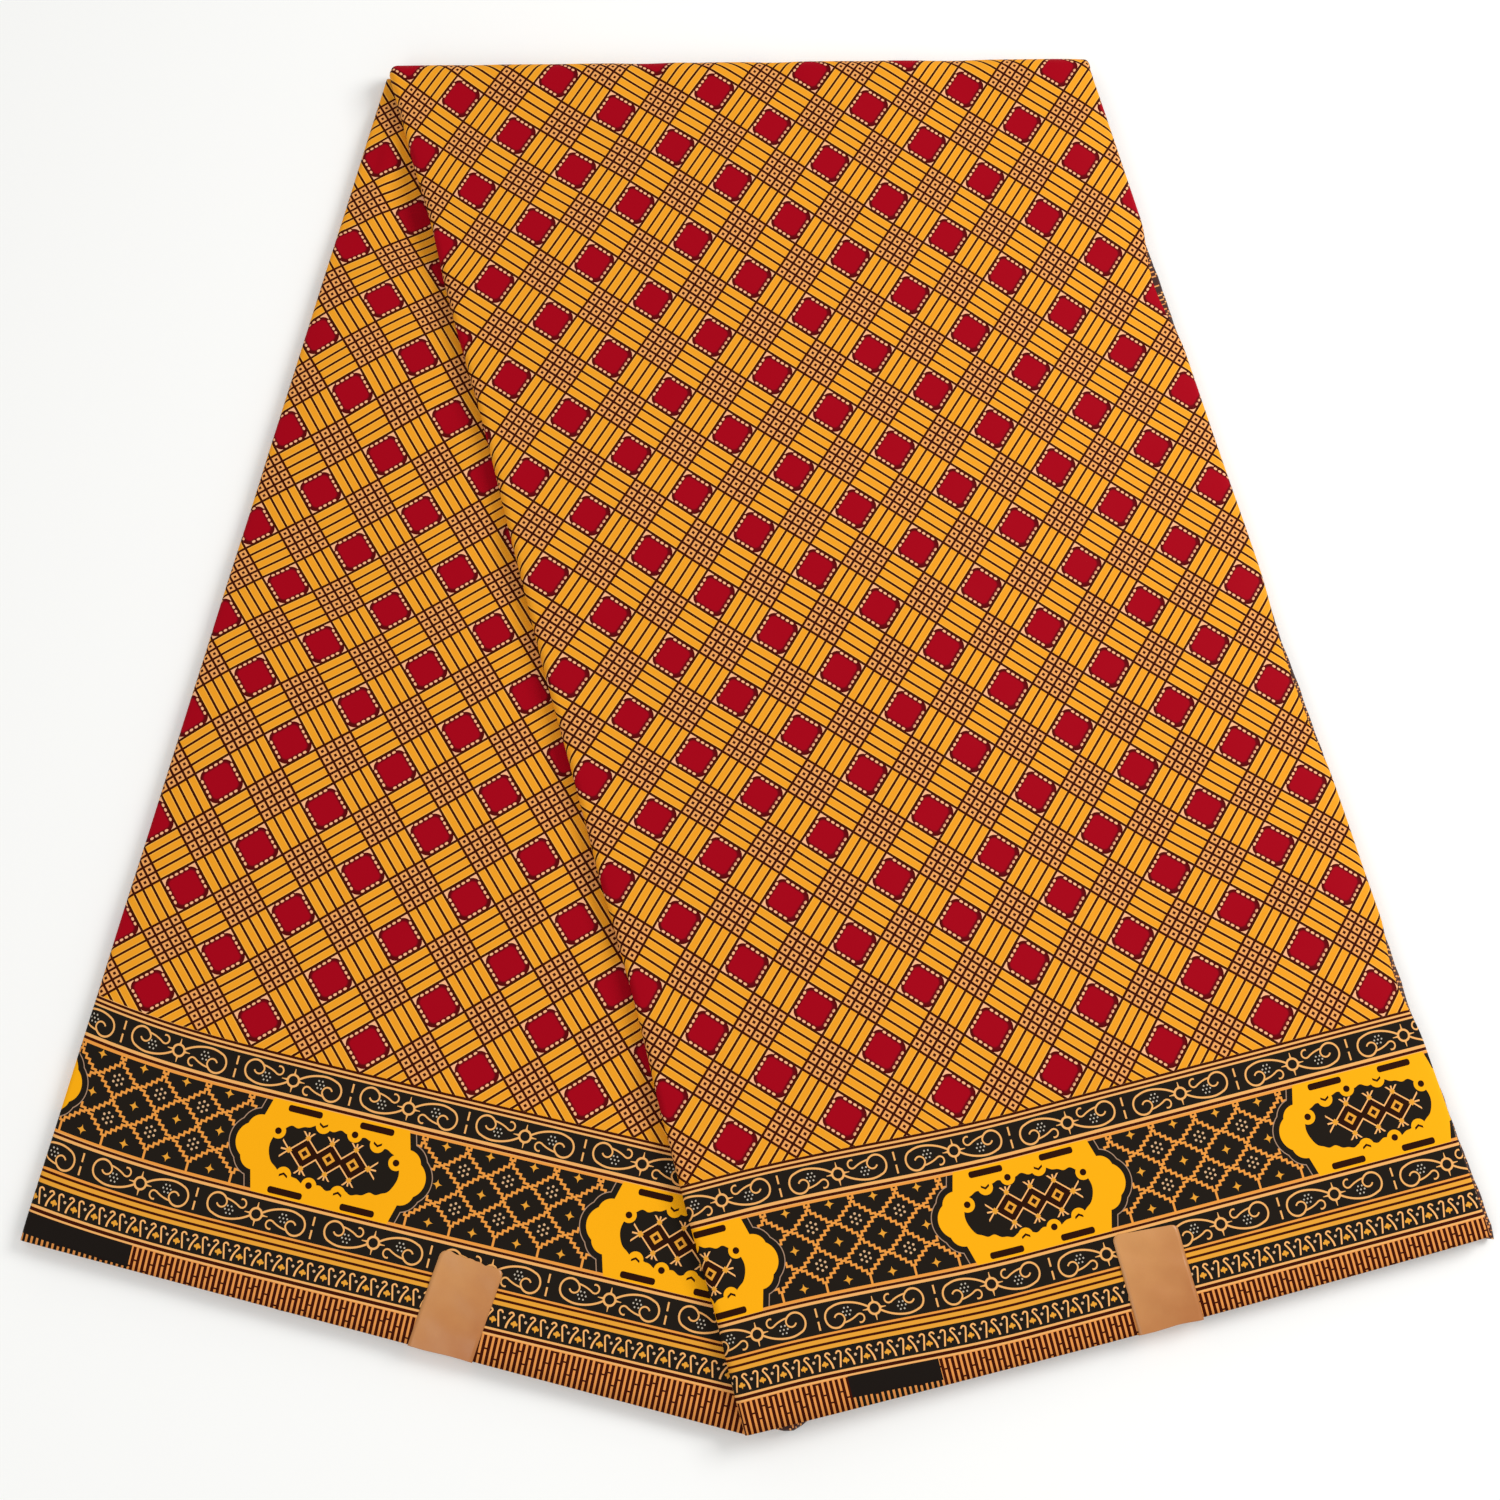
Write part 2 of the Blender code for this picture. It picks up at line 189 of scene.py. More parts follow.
# Each lay gives, in millimetres from the tip, the middle of one red square, the two steps to the
# next ones, and how the steps bend as the cloth was pulled in laying it out. Pulls are small
# ruffles: place, reach, and how far the print is moved there.
checkLay = {
    "right": {"start": (59.1, 489.0), "stepA": (24.08, -16.39), "stepB": (-16.21, -25.68),
              "bendAA": (0.035, 0.027), "bendAB": (0.134, 0.031), "bendBB": (0.015, 0.026)},
    "left": {"start": (-130.9, 355.7), "stepA": (15.08, -25.25), "stepB": (-26.18, -15.18),
             "bendAA": (0.033, 0.016), "bendAB": (0.008, -0.150), "bendBB": (-0.019, 0.061)},
}
pulls = {
    "right": (((-100, 525), 60, (-2.2, -1.2)), ((-45, 553), 48, (-1.5, 0.0)), ((0, 510), 75, (-0.3, 1.3)),
              ((145, 432), 75, (-0.3, -1.5)), ((35, 330), 60, (0.0, 0.9)), ((-15, 300), 60, (0.1, -1.3)),
              ((-20, 200), 65, (-0.5, 1.7)), ((225, 190), 75, (1.2, 2.2)), ((120, 120), 75, (0.6, -1.7)),
              ((80, 400), 90, (0.3, 0.2))),
    "left": (((-182, 466), 30, (-0.3, 2.3)), ((-148, 430), 45, (0.0, 1.9)), ((-158, 350), 70, (0.1, -1.9)),
             ((-200, 285), 60, (0.0, 2.0)), ((-205, 195), 60, (0.0, -0.9)), ((-225, 155), 40, (0.1, 0.8))),
}
# The border runs along the hem, and on the left the other way round. How the cloth was pulled
# lifts it towards the tip, and on the left towards both ends.
borderLay = {
    "right": {"from": tip, "heading": fan["rightRise"], "at": (258.8, 248.2), "stretch": 0.987, "turned": 1.0,
              "lean": 0.0, "tall": 0.988, "rise": -0.75,
              "tipRise": 4.4, "tipFrom": 15.0, "tipSpan": 95.0, "tipWiden": 0.2},
    "left": {"from": leftCorner, "heading": -fan["leftRise"], "at": (104.2, 113.0), "stretch": 1.0115, "turned": -1.0,
             "lean": 0.035, "tall": 1.006, "rise": 0.35, "edgeRise": 2.2, "edgeSpan": 55.0, "edgeGrow": 130,
             "farRise": 4.1, "farFrom": 60.0, "farSpan": 202.0, "farPower": 1.3},
}
borderTall, borderMiddle = 90, 55
# rounds in which the check's bends and the border's levels are solved
bendRounds, levelRounds = 8, 6
# where the border's bands end, in millimetres up from the selvage
bandEdges = (11.1, 25.0, 38.1, 73.2, 89.8)


def checkSpot(plan, side):
    lay = {name: np.array(value) for name, value in checkLay[side].items()}
    target = plan * 1000 - lay["start"]
    for place, reach, shift in pulls[side]:
        target = target - np.array(shift) * col(bump(apart(plan * 1000, place), reach))
    unstep = np.linalg.inv([lay["stepA"], lay["stepB"]])
    spot = target @ unstep
    for _ in range(bendRounds):
        a, b = spot[..., :1], spot[..., 1:]
        bend = lay["bendAA"] * a * a + lay["bendAB"] * a * b + lay["bendBB"] * b * b
        spot = (target - bend) @ unstep
    return spot


def borderSpot(plan, side):
    lay = borderLay[side]
    run, rise = toward(1.0, lay["heading"]), toward(1.0, lay["heading"] + 90)
    along = (plan - lay["from"]) @ run * 1000
    up = (plan - lay["from"]) @ rise * 1000
    inBorder = np.clip(up, 0, borderTall)
    lift = lay["rise"]
    if side == "right":
        span = lay["tipSpan"] + lay["tipWiden"] * inBorder
        lift = lift + lay["tipRise"] * (1 - ease((along - lay["tipFrom"]) / span))
    else:
        edgeRise = lay["edgeRise"] * (1 + inBorder / lay["edgeGrow"])
        lift = lift + edgeRise * fading(np.clip(along, 0, None), lay["edgeSpan"])
        farAlong = np.maximum(0.0, (along - lay["farFrom"]) / lay["farSpan"])
        lift = lift + lay["farRise"] * farAlong ** lay["farPower"]
    place, atPlace = lay["at"]
    leaned = along - place + lay["lean"] * (up - borderMiddle)
    across = atPlace + lay["turned"] * leaned / lay["stretch"]
    return np.stack([across, (up - lift) / lay["tall"]], -1)


def upsOfBand(level, across, side):
    # how far up each column the border's level lies, as a share of the column
    ups = np.full(len(across), level / 1000 / fan["foldLength"])
    for _ in range(levelRounds):
        if side == "right":
            plan = rightPlan(across, ups)
        else:
            plan = between(leftEdgeAt(ups), foldAt(ups), col(across))
        ups = ups + (level - borderSpot(plan, side)[:, 1]) / 1000 / columnTall["bands"]
    return ups


def rollColumns(radius, turn, lip, steps):
    # (into the panel, down, place on the flat cloth) of an edge rolled under, from lip to top
    angles = [turn * (1 - k / steps) for k in range(steps + 1)]
    chain = [(radius * (1 - math.sin(a)), radius * (1 - math.cos(a)), radius * (1 - a)) for a in angles]
    into, down, flat = chain[0]
    lips = [(into - lip * s * math.cos(turn), down + lip * s * math.sin(turn), flat - lip * s) for s in (1.0, 0.5)]
    return lips + chain


def addMesh(name, points, faces, spots, finishes, finishOfFace, thickness):
    mesh = bpy.data.meshes.new(name)
    mesh.from_pydata([tuple(p) for p in points], [], faces)
    loops = np.empty(len(mesh.loops), np.int64)
    mesh.loops.foreach_get("vertex_index", loops)
    for mapName, places in spots.items():
        layer = mesh.uv_layers.new(name=mapName)
        layer.data.foreach_set("uv", np.asarray(places, np.float32)[loops].ravel())
    for finish in finishes:
        mesh.materials.append(finish)
    mesh.polygons.foreach_set("material_index", np.asarray(finishOfFace, np.int32))
    mesh.shade_smooth()
    piece = bpy.data.objects.new(name, mesh)
    bpy.context.scene.collection.objects.link(piece)
    if thickness:
        wall = piece.modifiers.new("wall", "SOLIDIFY")
        wall.thickness = thickness
        wall.offset = -1
        wall.use_even_offset = False
    return piece


def gridFaces(rows, columns, flip=False):
    quads = []
    for j in range(rows - 1):
        for i in range(columns - 1):
            a = j * columns + i
            quad = (a, a + 1, a + columns + 1, a + columns)
            quads.append(quad[::-1] if flip else quad)
    return quads


def bakeMap(places, margin):
    # flat places fitted into the square that a finish is baked to
    low, high = places.min(0), places.max(0)
    return margin + (1 - 2 * margin) * (places - low) / (high - low).max()


def clothSheet(name, grid, flat, side, finishes, rowLevels, flip=False):
    # grid and flat are rows of places in space and on the flat cloth, from the hem up
    rows, columns, _ = grid.shape
    plan = flat.reshape(-1, 2)
    spots = {"OFBake": bakeMap(plan, 0.01), "check": checkSpot(plan, side), "border": borderSpot(plan, side)}
    finishOfRow = [sum(level + 0.01 >= edge for edge in bandEdges) for level in rowLevels[:-1]]
    return addMesh(name, grid.reshape(-1, 3) + fromMiddle, gridFaces(rows, columns, flip), spots,
                   finishes, np.repeat(finishOfRow, columns - 1), fan["clothThickness"])


borderLevels = [2.4, 5.0, 8.0, 11.1, 13.8, 16.5, 19.3, 22.0, 25.0, 28.2, 31.5, 34.8, 38.1,
                42.5, 46.9, 51.3, 55.7, 60.1, 64.5, 68.9, 73.2, 76.5, 79.8, 83.1, 86.5, 89.8]
hemLevel, fieldLevel = -9.0, 100.0


def levelsOf(fieldRows):
    return [hemLevel] + borderLevels + [fieldLevel] * fieldRows


def rowPlan(across, side, lastUp, fieldRows):
    # share of the way up of every column in each row, and the row's level on the border
    ups = [np.zeros(len(across))] + [upsOfBand(level, across, side) for level in borderLevels]
    field = [between(ups[-1], lastUp, k / fieldRows) for k in range(1, fieldRows + 1)]
    return ups + field, levelsOf(fieldRows)


rightPanel = {
    "foldRadius": 0.0029,
    "edgeRadius": 0.0022,
    "lip": 0.0050,
    "rollSteps": 10,
    "rollShare": 0.01,  # where the rolled columns cross the border
    "inner": (0.022, 0.985),
    "columns": 76,
    "fieldRows": 116,
    "wrapRadius": 0.0060,
    "floorRadius": 0.0040,
    "floorLip": 0.0030,
    "floorGap": 0.0003,
    "wrapSteps": 7,
    # towards the top edge the rolls open to these
    "unrollSpan": 0.080,
    "openLip": 0.0010,
    "openTurn": 60,
    # how the centre fold wanders: up the fold, half length, to the right
    "wanderReach": 0.022,
    "foldWander": ((0.045, 0.030, 0.0006), (0.165, 0.050, 0.0009), (0.300, 0.045, -0.0005),
                   (0.405, 0.050, 0.0008), (0.500, 0.035, 0.0010)),
}


def wrapRows(size):
    # (distance back, drop, tilt, distance on the flat cloth) of the turned top edge
    rows = []
    bottom = relief["rightTop"] - size["floorGap"]
    large, small = size["wrapRadius"], size["floorRadius"]
    tilts = [math.pi / 2 * k / size["wrapSteps"] for k in range(size["wrapSteps"] + 1)]
    for tilt in tilts[1:]:
        rows.append((large * math.sin(tilt), large * (1 - math.cos(tilt)), tilt, large * tilt))
    roundEnd = rows[-1][3] + bottom - large - small
    for tilt in tilts:
        back, drop = large - small * (1 - math.cos(tilt)), bottom - small * (1 - math.sin(tilt))
        rows.append((back, drop, math.pi / 2 + tilt, roundEnd + small * tilt))
    rows.append((large - small - size["floorLip"], bottom, math.pi, rows[-1][3] + size["floorLip"]))
    return rows


def rightRow(ups, size, inner, back=0.0, drop=0.0, tilt=0.0, flatBack=0.0):
    # one row across the right panel, in space and on the flat cloth
    fromWrap = (1 - float(np.mean(ups))) * fan["foldLength"] - size["wrapRadius"]
    opened = 1 - fromWrap / size["unrollSpan"]
    lip = between(size["lip"], size["openLip"], float(ease(2 * opened)))
    turn = between(math.pi, math.radians(size["openTurn"]), float(ease(2 * opened - 1)))
    foldRoll = np.array(rollColumns(size["foldRadius"], turn, lip, size["rollSteps"]))
    edgeRoll = np.array(rollColumns(size["edgeRadius"], turn, lip, size["rollSteps"]))[::-1]
    count = len(foldRoll)
    widths = rightWidth(ups)

    def shares(k):
        return np.concatenate([foldRoll[:, k] / widths[:count], inner, 1 - edgeRoll[:, k] / widths[-count:]])

    across, flatAcross = shares(0), shares(2)
    down = np.concatenate([foldRoll[:, 1], np.zeros(len(inner)), edgeRoll[:, 1]])
    wander = sum(side * bump(ups * fan["foldLength"] - at, half) for at, half, side in size["foldWander"])
    wander = wander * bump(across * widths, size["wanderReach"]) * (1 - ease(opened))
    height = rightHeight(across, ups) * (1 - drop / relief["rightTop"])
    bowed, straight = rightPlan(across, ups), between(foldAt(ups), rightEdgeAt(ups), col(across))
    plan = bowed + upTop * col(back - down * math.sin(tilt)) + acrossTop * col(wander)
    flat = between(foldAt(ups), rightEdgeAt(ups), col(flatAcross)) + upTop * flatBack
    return raised(plan, height - down * math.cos(tilt)), flat + (bowed - straight)


def buildRightPanel(size, finishes):
    inner = np.linspace(*size["inner"], size["columns"])
    rolled = np.full(size["rollSteps"] + 3, size["rollShare"])
    lastUp = 1 - size["wrapRadius"] / fan["foldLength"]
    across = np.concatenate([rolled, inner, 1 - rolled])
    ups, levels = rowPlan(across, "right", lastUp, size["fieldRows"])
    rows = [rightRow(row, size, inner) for row in ups]
    rows += [rightRow(ups[-1], size, inner, *turned) for turned in wrapRows(size)]
    levels += [fieldLevel] * (len(rows) - len(levels))
    grid, flat = (np.array(part) for part in zip(*rows))
    return clothSheet("right_panel_cloth", grid, flat, "right", finishes, levels)


leftPanel = {
    "edgeRadius": 0.0022,
    "lip": 0.0050,
    "tuck": 0.0080,
    "tuckSteps": (0.3, 0.65, 1.0),
    "rollSteps": 10,
    "columns": 70,
    "fieldRows": 104,
    "lastUp": 0.992,
    # a small pucker beside the top of the fold: up, in from the edge, half length, half width, height
    "pucker": ((0.905, 0.012, 0.030, 0.006, 0.0009), (0.935, 0.020, 0.022, 0.005, -0.0007)),
}


def buildLeftPanel(size, finishes):
    inner = np.linspace(0.0, 1.0, size["columns"])[1:]
    roll = np.array(rollColumns(size["edgeRadius"], math.pi, size["lip"], size["rollSteps"]))
    tuck = size["tuck"] * np.array(size["tuckSteps"])
    rolled, tucked = len(roll), len(tuck)
    across = np.concatenate([np.zeros(rolled), inner, np.ones(tucked)])
    ups, levels = rowPlan(across, "left", size["lastUp"], size["fieldRows"])
    grid, flat = [], []
    for row in ups:
        start, end = leftEdgeAt(row), foldAt(row)
        way, width = unit(end - start), apart(end, start)
        middle = between(size["edgeRadius"], width[rolled:-tucked], inner)
        into = np.concatenate([roll[:, 0], middle, width[-tucked:]])
        flatInto = np.concatenate([roll[:, 2], into[rolled:]])
        down = np.concatenate([roll[:, 1], np.zeros(len(into) - rolled)])
        over = np.concatenate([np.zeros(len(into) - tucked), tuck])
        beside = start + way * col(np.where(down > 0, size["edgeRadius"], into))
        height = leftHeight(beside, row) - down
        for at, fromEdge, half, halfWide, rise in size["pucker"]:
            height = height + rise * bump((row - at) * fan["foldLength"], half) * bump(into - fromEdge, halfWide)
        grid.append(raised(start + way * col(into) + unit(rightEdgeAt(row) - end) * col(over), height))
        flat.append(start + way * col(flatInto + over))
    return clothSheet("left_panel_cloth", np.array(grid), np.array(flat), "left", finishes, levels)


# The folded layers between: what shows of them is their edges.
foldedLayers = {
    "lowerLayers": 12,
    "upperLayers": 10,
    "seeds": (11, 47),
    "spacing": 0.0035,
    "groove": 0.0009,
    "bulge": 0.0001,
    "wander": 0.0008,
    # lengths of a layer's waves, their least and most height, how height grows with length
    "waves": (0.22, 0.09, 0.035, 0.013),
    "waveHeights": (0.3, 1.0),
    "wavePower": 0.35,
    "waveShare": 0.9,
    "layerShift": 0.6,
    "closing": 0.014,                    # how far in the top closes
    # how far back the sides stand: left hem, right hem, right edge, top, left edge
    "lowerSetBack": (0.0006, 0.0006, 0.0012, 0.0030, 0.0012),
    # right hem, right edge, top, centre fold
    "upperSetBack": (0.0006, 0.0016, 0.0034, 0.0034),
    # room under the left panel, for all its layers and for the lower stack, and under the right one
    "leftRoom": 0.0007,
    "stackRoom": 0.0010,
    "rightRoom": 0.0009,
    "pastFold": 0.001,
    "floorGap": 0.0004,
    "lowerShare": 0.56,
    "stackGap": 0.0001,
    "upperGrip": 0.0002,
    "tipPeek": (0.017, 0.010, 0.0030),   # along the right hem, half length, reach
    "peekShares": (0.1, 0.95, 0.5),      # from and to which height it is whole, and its share elsewhere
    "cornerPeek": (0.10, 0.0032, 0.7),   # length up the right edge, reach, and how it fades
}


def layerNoise(seed, along, size):
    # uneven edge of one layer, from a few seeded waves
    rng = np.random.default_rng(seed)
    rise = np.zeros(len(along))
    for length in size["waves"]:
        tall = rng.uniform(*size["waveHeights"]) * length ** size["wavePower"]
        rise += tall * np.sin(2 * math.pi * (along / length + rng.uniform()))
    shift = rng.uniform(-size["layerShift"], size["layerShift"])
    return size["wander"] * rise / size["waveShare"] + size["wander"] * shift


def outlineOf(corners, spacing):
    # evenly spaced points round a plan outline, the side that each lies on, and the way in
    points, sides = [], []
    for k, (a, b) in enumerate(zip(corners, corners[1:] + corners[:1])):
        count = max(2, int(np.linalg.norm(b - a) / spacing))
        points += [between(a, b, i / count) for i in range(count)]
        sides += [k] * count
    points = np.array(points)
    tangent = unit(np.roll(points, -1, 0) - np.roll(points, 1, 0))
    return points, np.array(sides), np.stack([-tangent[:, 1], tangent[:, 0]], -1)


def buildLayers(name, size, corners, setBack, bottomOf, topOf, layers, seed, finish, reachOf=None):
    outline, sides, inward = outlineOf(corners, size["spacing"])
    along = np.concatenate([[0.0], np.cumsum(apart(outline[1:], outline[:-1]))])
    rings, spots = [], []
    for level in range(2 * layers + 1):
        share = level / (2 * layers)
        inset = np.array([setBack[s] for s in sides]) - (reachOf(outline, sides, share) if reachOf else 0.0)
        inset = inset + (size["groove"] if level % 2 == 0 else size["bulge"])
        inset = inset + layerNoise(seed + (level + 1) // 2, along, size)
        rings.append(raised(outline + inward * col(inset), between(bottomOf(outline), topOf(outline), share)))
        spots.append(np.stack([along * 1000, np.full(len(along), level / 2)], -1))
    # the top closes a little way in and well under the panel that lies on it
    rings.append(raised(outline + inward * size["closing"], between(bottomOf(outline), topOf(outline), 0.5)))
    spots.append(spots[-1])
    count = len(outline)
    faces = [tuple(range(count))[::-1]]
    for a in range(0, (len(rings) - 1) * count, count):
        for i in range(count):
            n = (i + 1) % count
            faces.append((a + i, a + n, a + count + n, a + count + i))
    faces.append(tuple((len(rings) - 1) * count + i for i in range(count)))
    points = np.concatenate(rings) + fromMiddle
    return addMesh(name, points, faces, {"layers": np.concatenate(spots)}, [finish], np.zeros(len(faces)), 0.0)


def acrossOf(plan):
    # for places in plan: share of the way across the right panel, share up it, metres from the fold
    up = np.clip((plan @ toward(1.0, fan["rightRise"] + 90)) / columnTall["pack"], 0.0, 1.0)
    way = rightEdgeAt(up) - foldAt(up)
    across = np.sum((plan - foldAt(up)) * way, -1) / np.sum(way * way, -1)
    return np.clip(across, 0.0, 1.0), up, np.sum((plan - foldAt(up)) * unit(way), -1)


def packTop(plan):
    # underside of the panels over each place in plan
    across, up, fromFold = acrossOf(plan)
    left = relief["leftTop"] - foldedLayers["leftRoom"] - hemDroop(up, columnTall["droop"]) - relief["crownDrop"]
    right = rightHeight(across, up) - foldedLayers["rightRoom"]
    return np.where(fromFold > foldedLayers["pastFold"], right, left)


def lowerTop(plan):
    fromFold = acrossOf(plan)[2]
    left = relief["leftTop"] - foldedLayers["stackRoom"] - relief["hemDroop"] - relief["crownDrop"]
    return np.where(fromFold > foldedLayers["pastFold"], foldedLayers["lowerShare"] * packTop(plan), left)


def buildFoldedLayers(size, finish):
    def peeks(outline, sides, share):
        # two corners of a lower layer that show past the right panel
        at, half, reach = size["tipPeek"]
        tipPeek = np.where(sides == 1, reach * bump(outline @ toward(1.0, fan["rightRise"]) - at, half), 0.0)
        length, reach, power = size["cornerPeek"]
        fade = np.maximum(0.0, 1 - apart(outline, rightCorner) / length) ** power
        low, high, elsewhere = size["peekShares"]
        tipPeek = tipPeek if low < share < high else tipPeek * elsewhere
        return tipPeek + np.where(sides == 2, reach * fade, 0.0)

    lower = buildLayers("lower_folded_layers", size, [leftCorner, tip, rightCorner, topRight, topLeft],
                        size["lowerSetBack"], lambda plan: np.full(len(plan), size["floorGap"]), lowerTop,
                        size["lowerLayers"], size["seeds"][0], finish, peeks)
    upper = buildLayers("upper_folded_layers", size, [tip, rightCorner, topRight, topLeft], size["upperSetBack"],
                        lambda plan: lowerTop(plan) + size["stackGap"],
                        lambda plan: packTop(plan) + size["upperGrip"],
                        size["upperLayers"], size["seeds"][1], finish)
    return lower, upper


def operator(kind):
    # a sum on wires, and its reflected form for sums that start with a number
    def forward(self, other):
        return self.maths(kind, other)

    def reflected(self, other):
        return self.node("ShaderNodeMath", {"operation": kind}, {0: other, 1: self})

    return forward, reflected


class Wire:
    # a socket of a node tree that can be used in sums
    def __init__(self, tree, socket=None):
        self.tree, self.socket = tree, socket

    def node(self, kind, settings, inputs, output=0):
        # any node: its settings first, then the values or links of its sockets
        made = self.tree.nodes.new(kind)
        for name, value in settings.items():
            setattr(made, name, value)
        for name, value in inputs.items():
            if isinstance(value, Wire):
                self.tree.links.new(value.socket, made.inputs[name])
            else:
                made.inputs[name].default_value = value
        return Wire(self.tree, made.outputs[output])

    def maths(self, operation, *values):
        return self.node("ShaderNodeMath", {"operation": operation}, dict(enumerate((self,) + values)))

    __add__, __radd__ = operator("ADD")
    __sub__, __rsub__ = operator("SUBTRACT")
    __mul__, __rmul__ = operator("MULTIPLY")
    __truediv__, __rtruediv__ = operator("DIVIDE")
    __pow__, __rpow__ = operator("POWER")
    __and__, __rand__ = operator("MULTIPLY")
    __or__, __ror__ = operator("MAXIMUM")

    def __lt__(self, other): return self.maths("LESS_THAN", other)
    def __gt__(self, other): return self.maths("GREATER_THAN", other)
    def __abs__(self): return self.maths("ABSOLUTE")

    def near(self, value, reach): return self.maths("COMPARE", value, reach)
    def wrap(self, low, high): return self.maths("WRAP", high, low)
    def swing(self, half): return self.maths("PINGPONG", half)
    def floor(self): return self.maths("FLOOR")
    def sine(self): return self.maths("SINE")
    def sign(self): return self.maths("SIGN")
    def most(self, other): return self.maths("MAXIMUM", other)
    def least(self, other): return self.maths("MINIMUM", other)


def readMap(tree, name):
    spot = Wire(tree).node("ShaderNodeUVMap", {"uv_map": name}, {})
    x = spot.node("ShaderNodeSeparateXYZ", {}, {0: spot})
    return x, Wire(tree, x.socket.node.outputs[1])


def spotOf(x, y):
    return x.node("ShaderNodeCombineXYZ", {}, {0: x, 1: y})


def far(spot, centreX=0.0, centreY=0.0):
    # distance in millimetres from a point of the print
    return spot.node("ShaderNodeVectorMath", {"operation": "DISTANCE"}, {0: spot, 1: (centreX, centreY, 0.0)}, 1)


def ring(spot, centre, radius, half):
    return far(spot, *centre).near(radius, half)


def disc(spot, centre, radius):
    return far(spot, *centre) < radius


def noise(where, scale, detail=2.0, dimensions="3D"):
    return where.node("ShaderNodeTexNoise", {"noise_dimensions": dimensions},
                      {"Vector": where, "Scale": scale, "Detail": detail})


def linear(red, green, blue):
    # a screen colour, 0 to 255, as the light it stands for
    shares = [v / 255 for v in (red, green, blue)]
    return tuple(v / 12.92 if v <= 0.04045 else ((v + 0.055) / 1.055) ** 2.4 for v in shares) + (1.0,)


# shadedOrange is an orange darkened as painted shade where the hem turns down under the comb; it is also the ground
# of the folded edges
inks = {name: linear(*screen) for name, screen in {
    "yellow": (252, 174, 14), "bar": (242, 156, 24), "rim": (252, 184, 74), "amber": (232, 160, 52),
    "orange": (236, 154, 66), "peach": (248, 182, 110), "strand": (240, 175, 101), "cell": (236, 162, 90),
    "shadedOrange": (230, 149, 76), "wine": (88, 6, 6), "bead": (246, 182, 132), "thread": (216, 176, 132),
    "line": (172, 138, 112), "grey": (190, 180, 162), "brown": (62, 14, 0), "umber": (44, 16, 4),
    "black": (27, 21, 17), "night": (31, 25, 19), "red": (162, 0, 22), "deepRed": (104, 2, 14),
}.items()}


def lay(ground, *coats):
    # inks printed one over another on the ground, each as (where, ink). An ink is a name or a colour
    for where, ink in coats:
        under, over = (inks[one] if isinstance(one, str) else one for one in (ground, ink))
        ground = where.node("ShaderNodeMix", {"data_type": "RGBA"}, {0: where, 6: under, 7: over}, 2)
    return ground


checkInk = {"repeat": 30.0, "module": 3.75, "redStep": 0.75, "line": 0.96, "rim": 0.26, "dot": 0.56,
            "redHalf": 6.0, "redRound": 2.5, "redIn": 0.2, "redSoft": 1.4,
            "beadPitch": 2.13, "beadPlace": 6.40, "beadHalf": (0.74, 0.50), "beadEnd": 4.15, "beadShow": 0.6,
            "blot": 1.25, "blotLeft": 0.45, "blotGap": 0.2,
            "grainScale": 1.6, "grain": (1.6, -0.5, 0.6)}   # gain, offset, most


def checkPrint(tree, redShift):
    # eight modules a repeat: four bars of yellow between lines, then the red square's four
    a, b = readMap(tree, "check")
    size = checkInk
    repeat, module, half = size["repeat"], size["module"], size["line"] / 2
    x, y = [(way + (size["redStep"] + half / repeat)).wrap(0.0, 1.0) * repeat - half for way in (a, b)]
    redFrom = repeat / 2 + half
    inX, inY = x < redFrom, y < redFrom
    fromX, fromY = abs(x).swing(module / 2), abs(y).swing(module / 2)

    def lines(width):
        return (inX & (fromX < width)) | (inY & (fromY < width))

    crossing = inX & inY
    dots = fromX.near(module / 2, size["dot"]) & fromY.near(module / 2, size["dot"])
    # the red square in its own cell, a ring of beads round it and a blot in each corner
    redZone = (x > redFrom) & (y > redFrom)
    rx, ry = x - repeat * 0.75, y - repeat * 0.75
    long, other = abs(rx).most(abs(ry)), abs(rx).least(abs(ry))
    beadLong, beadWide = size["beadHalf"]
    pitch, curve = size["beadPitch"], size["redRound"]
    bead = ((pitch / 2 - other.swing(pitch / 2)) / beadLong) ** 2 + ((long - size["beadPlace"]) / beadWide) ** 2 < 1
    bead = bead & (other < size["beadEnd"])
    square = size["redHalf"] - curve

    def fromSquare(shiftX, shiftY):
        return far(spotOf((abs(rx - shiftX) - square).most(0.0), (abs(ry - shiftY) - square).most(0.0)))

    blot = fromSquare(0.0, 0.0) > curve + size["blot"] - (rx < 0) * size["blotLeft"]
    blot = blot & (other > size["beadEnd"] + size["blotGap"])
    core = (curve - size["redIn"] - fromSquare(-0.5 * redShift[0], 0.0)) * size["redSoft"]
    gain, offset, most = size["grain"]
    grain = noise(spotOf(a * repeat, b * repeat), size["grainScale"], dimensions="2D")
    grain = grain.maths("MULTIPLY_ADD", gain, offset).least(most).most(0.0)
    return lay("bar", (grain, "amber"), (lines(half + size["rim"]), "rim"), (crossing, "cell"),
               (crossing & dots, "brown"), (redZone, "wine"), (redZone & (bead | blot), "bead"),
               (redZone & (fromSquare(*redShift) < curve) & (1 - bead * size["beadShow"]), "deepRed"),
               (redZone & core.most(0.0).least(1.0), "red"), (lines(half), "brown"))


# dark lines on orange, in millimetres up from the selvage: (middle, half width)
stripes = {
    "comb": ((9.65, 0.62),),
    "hooks": ((21.3, 0.46), (23.75, 0.46)),
    "lower": ((37.55, 0.46),),
    "upper": ((74.0, 0.55), (87.55, 0.48), (89.3, 0.48)),
}


def striped(v, ground, name):
    return lay(ground, *[(v.near(middle, half), "brown") for middle, half in stripes[name]])


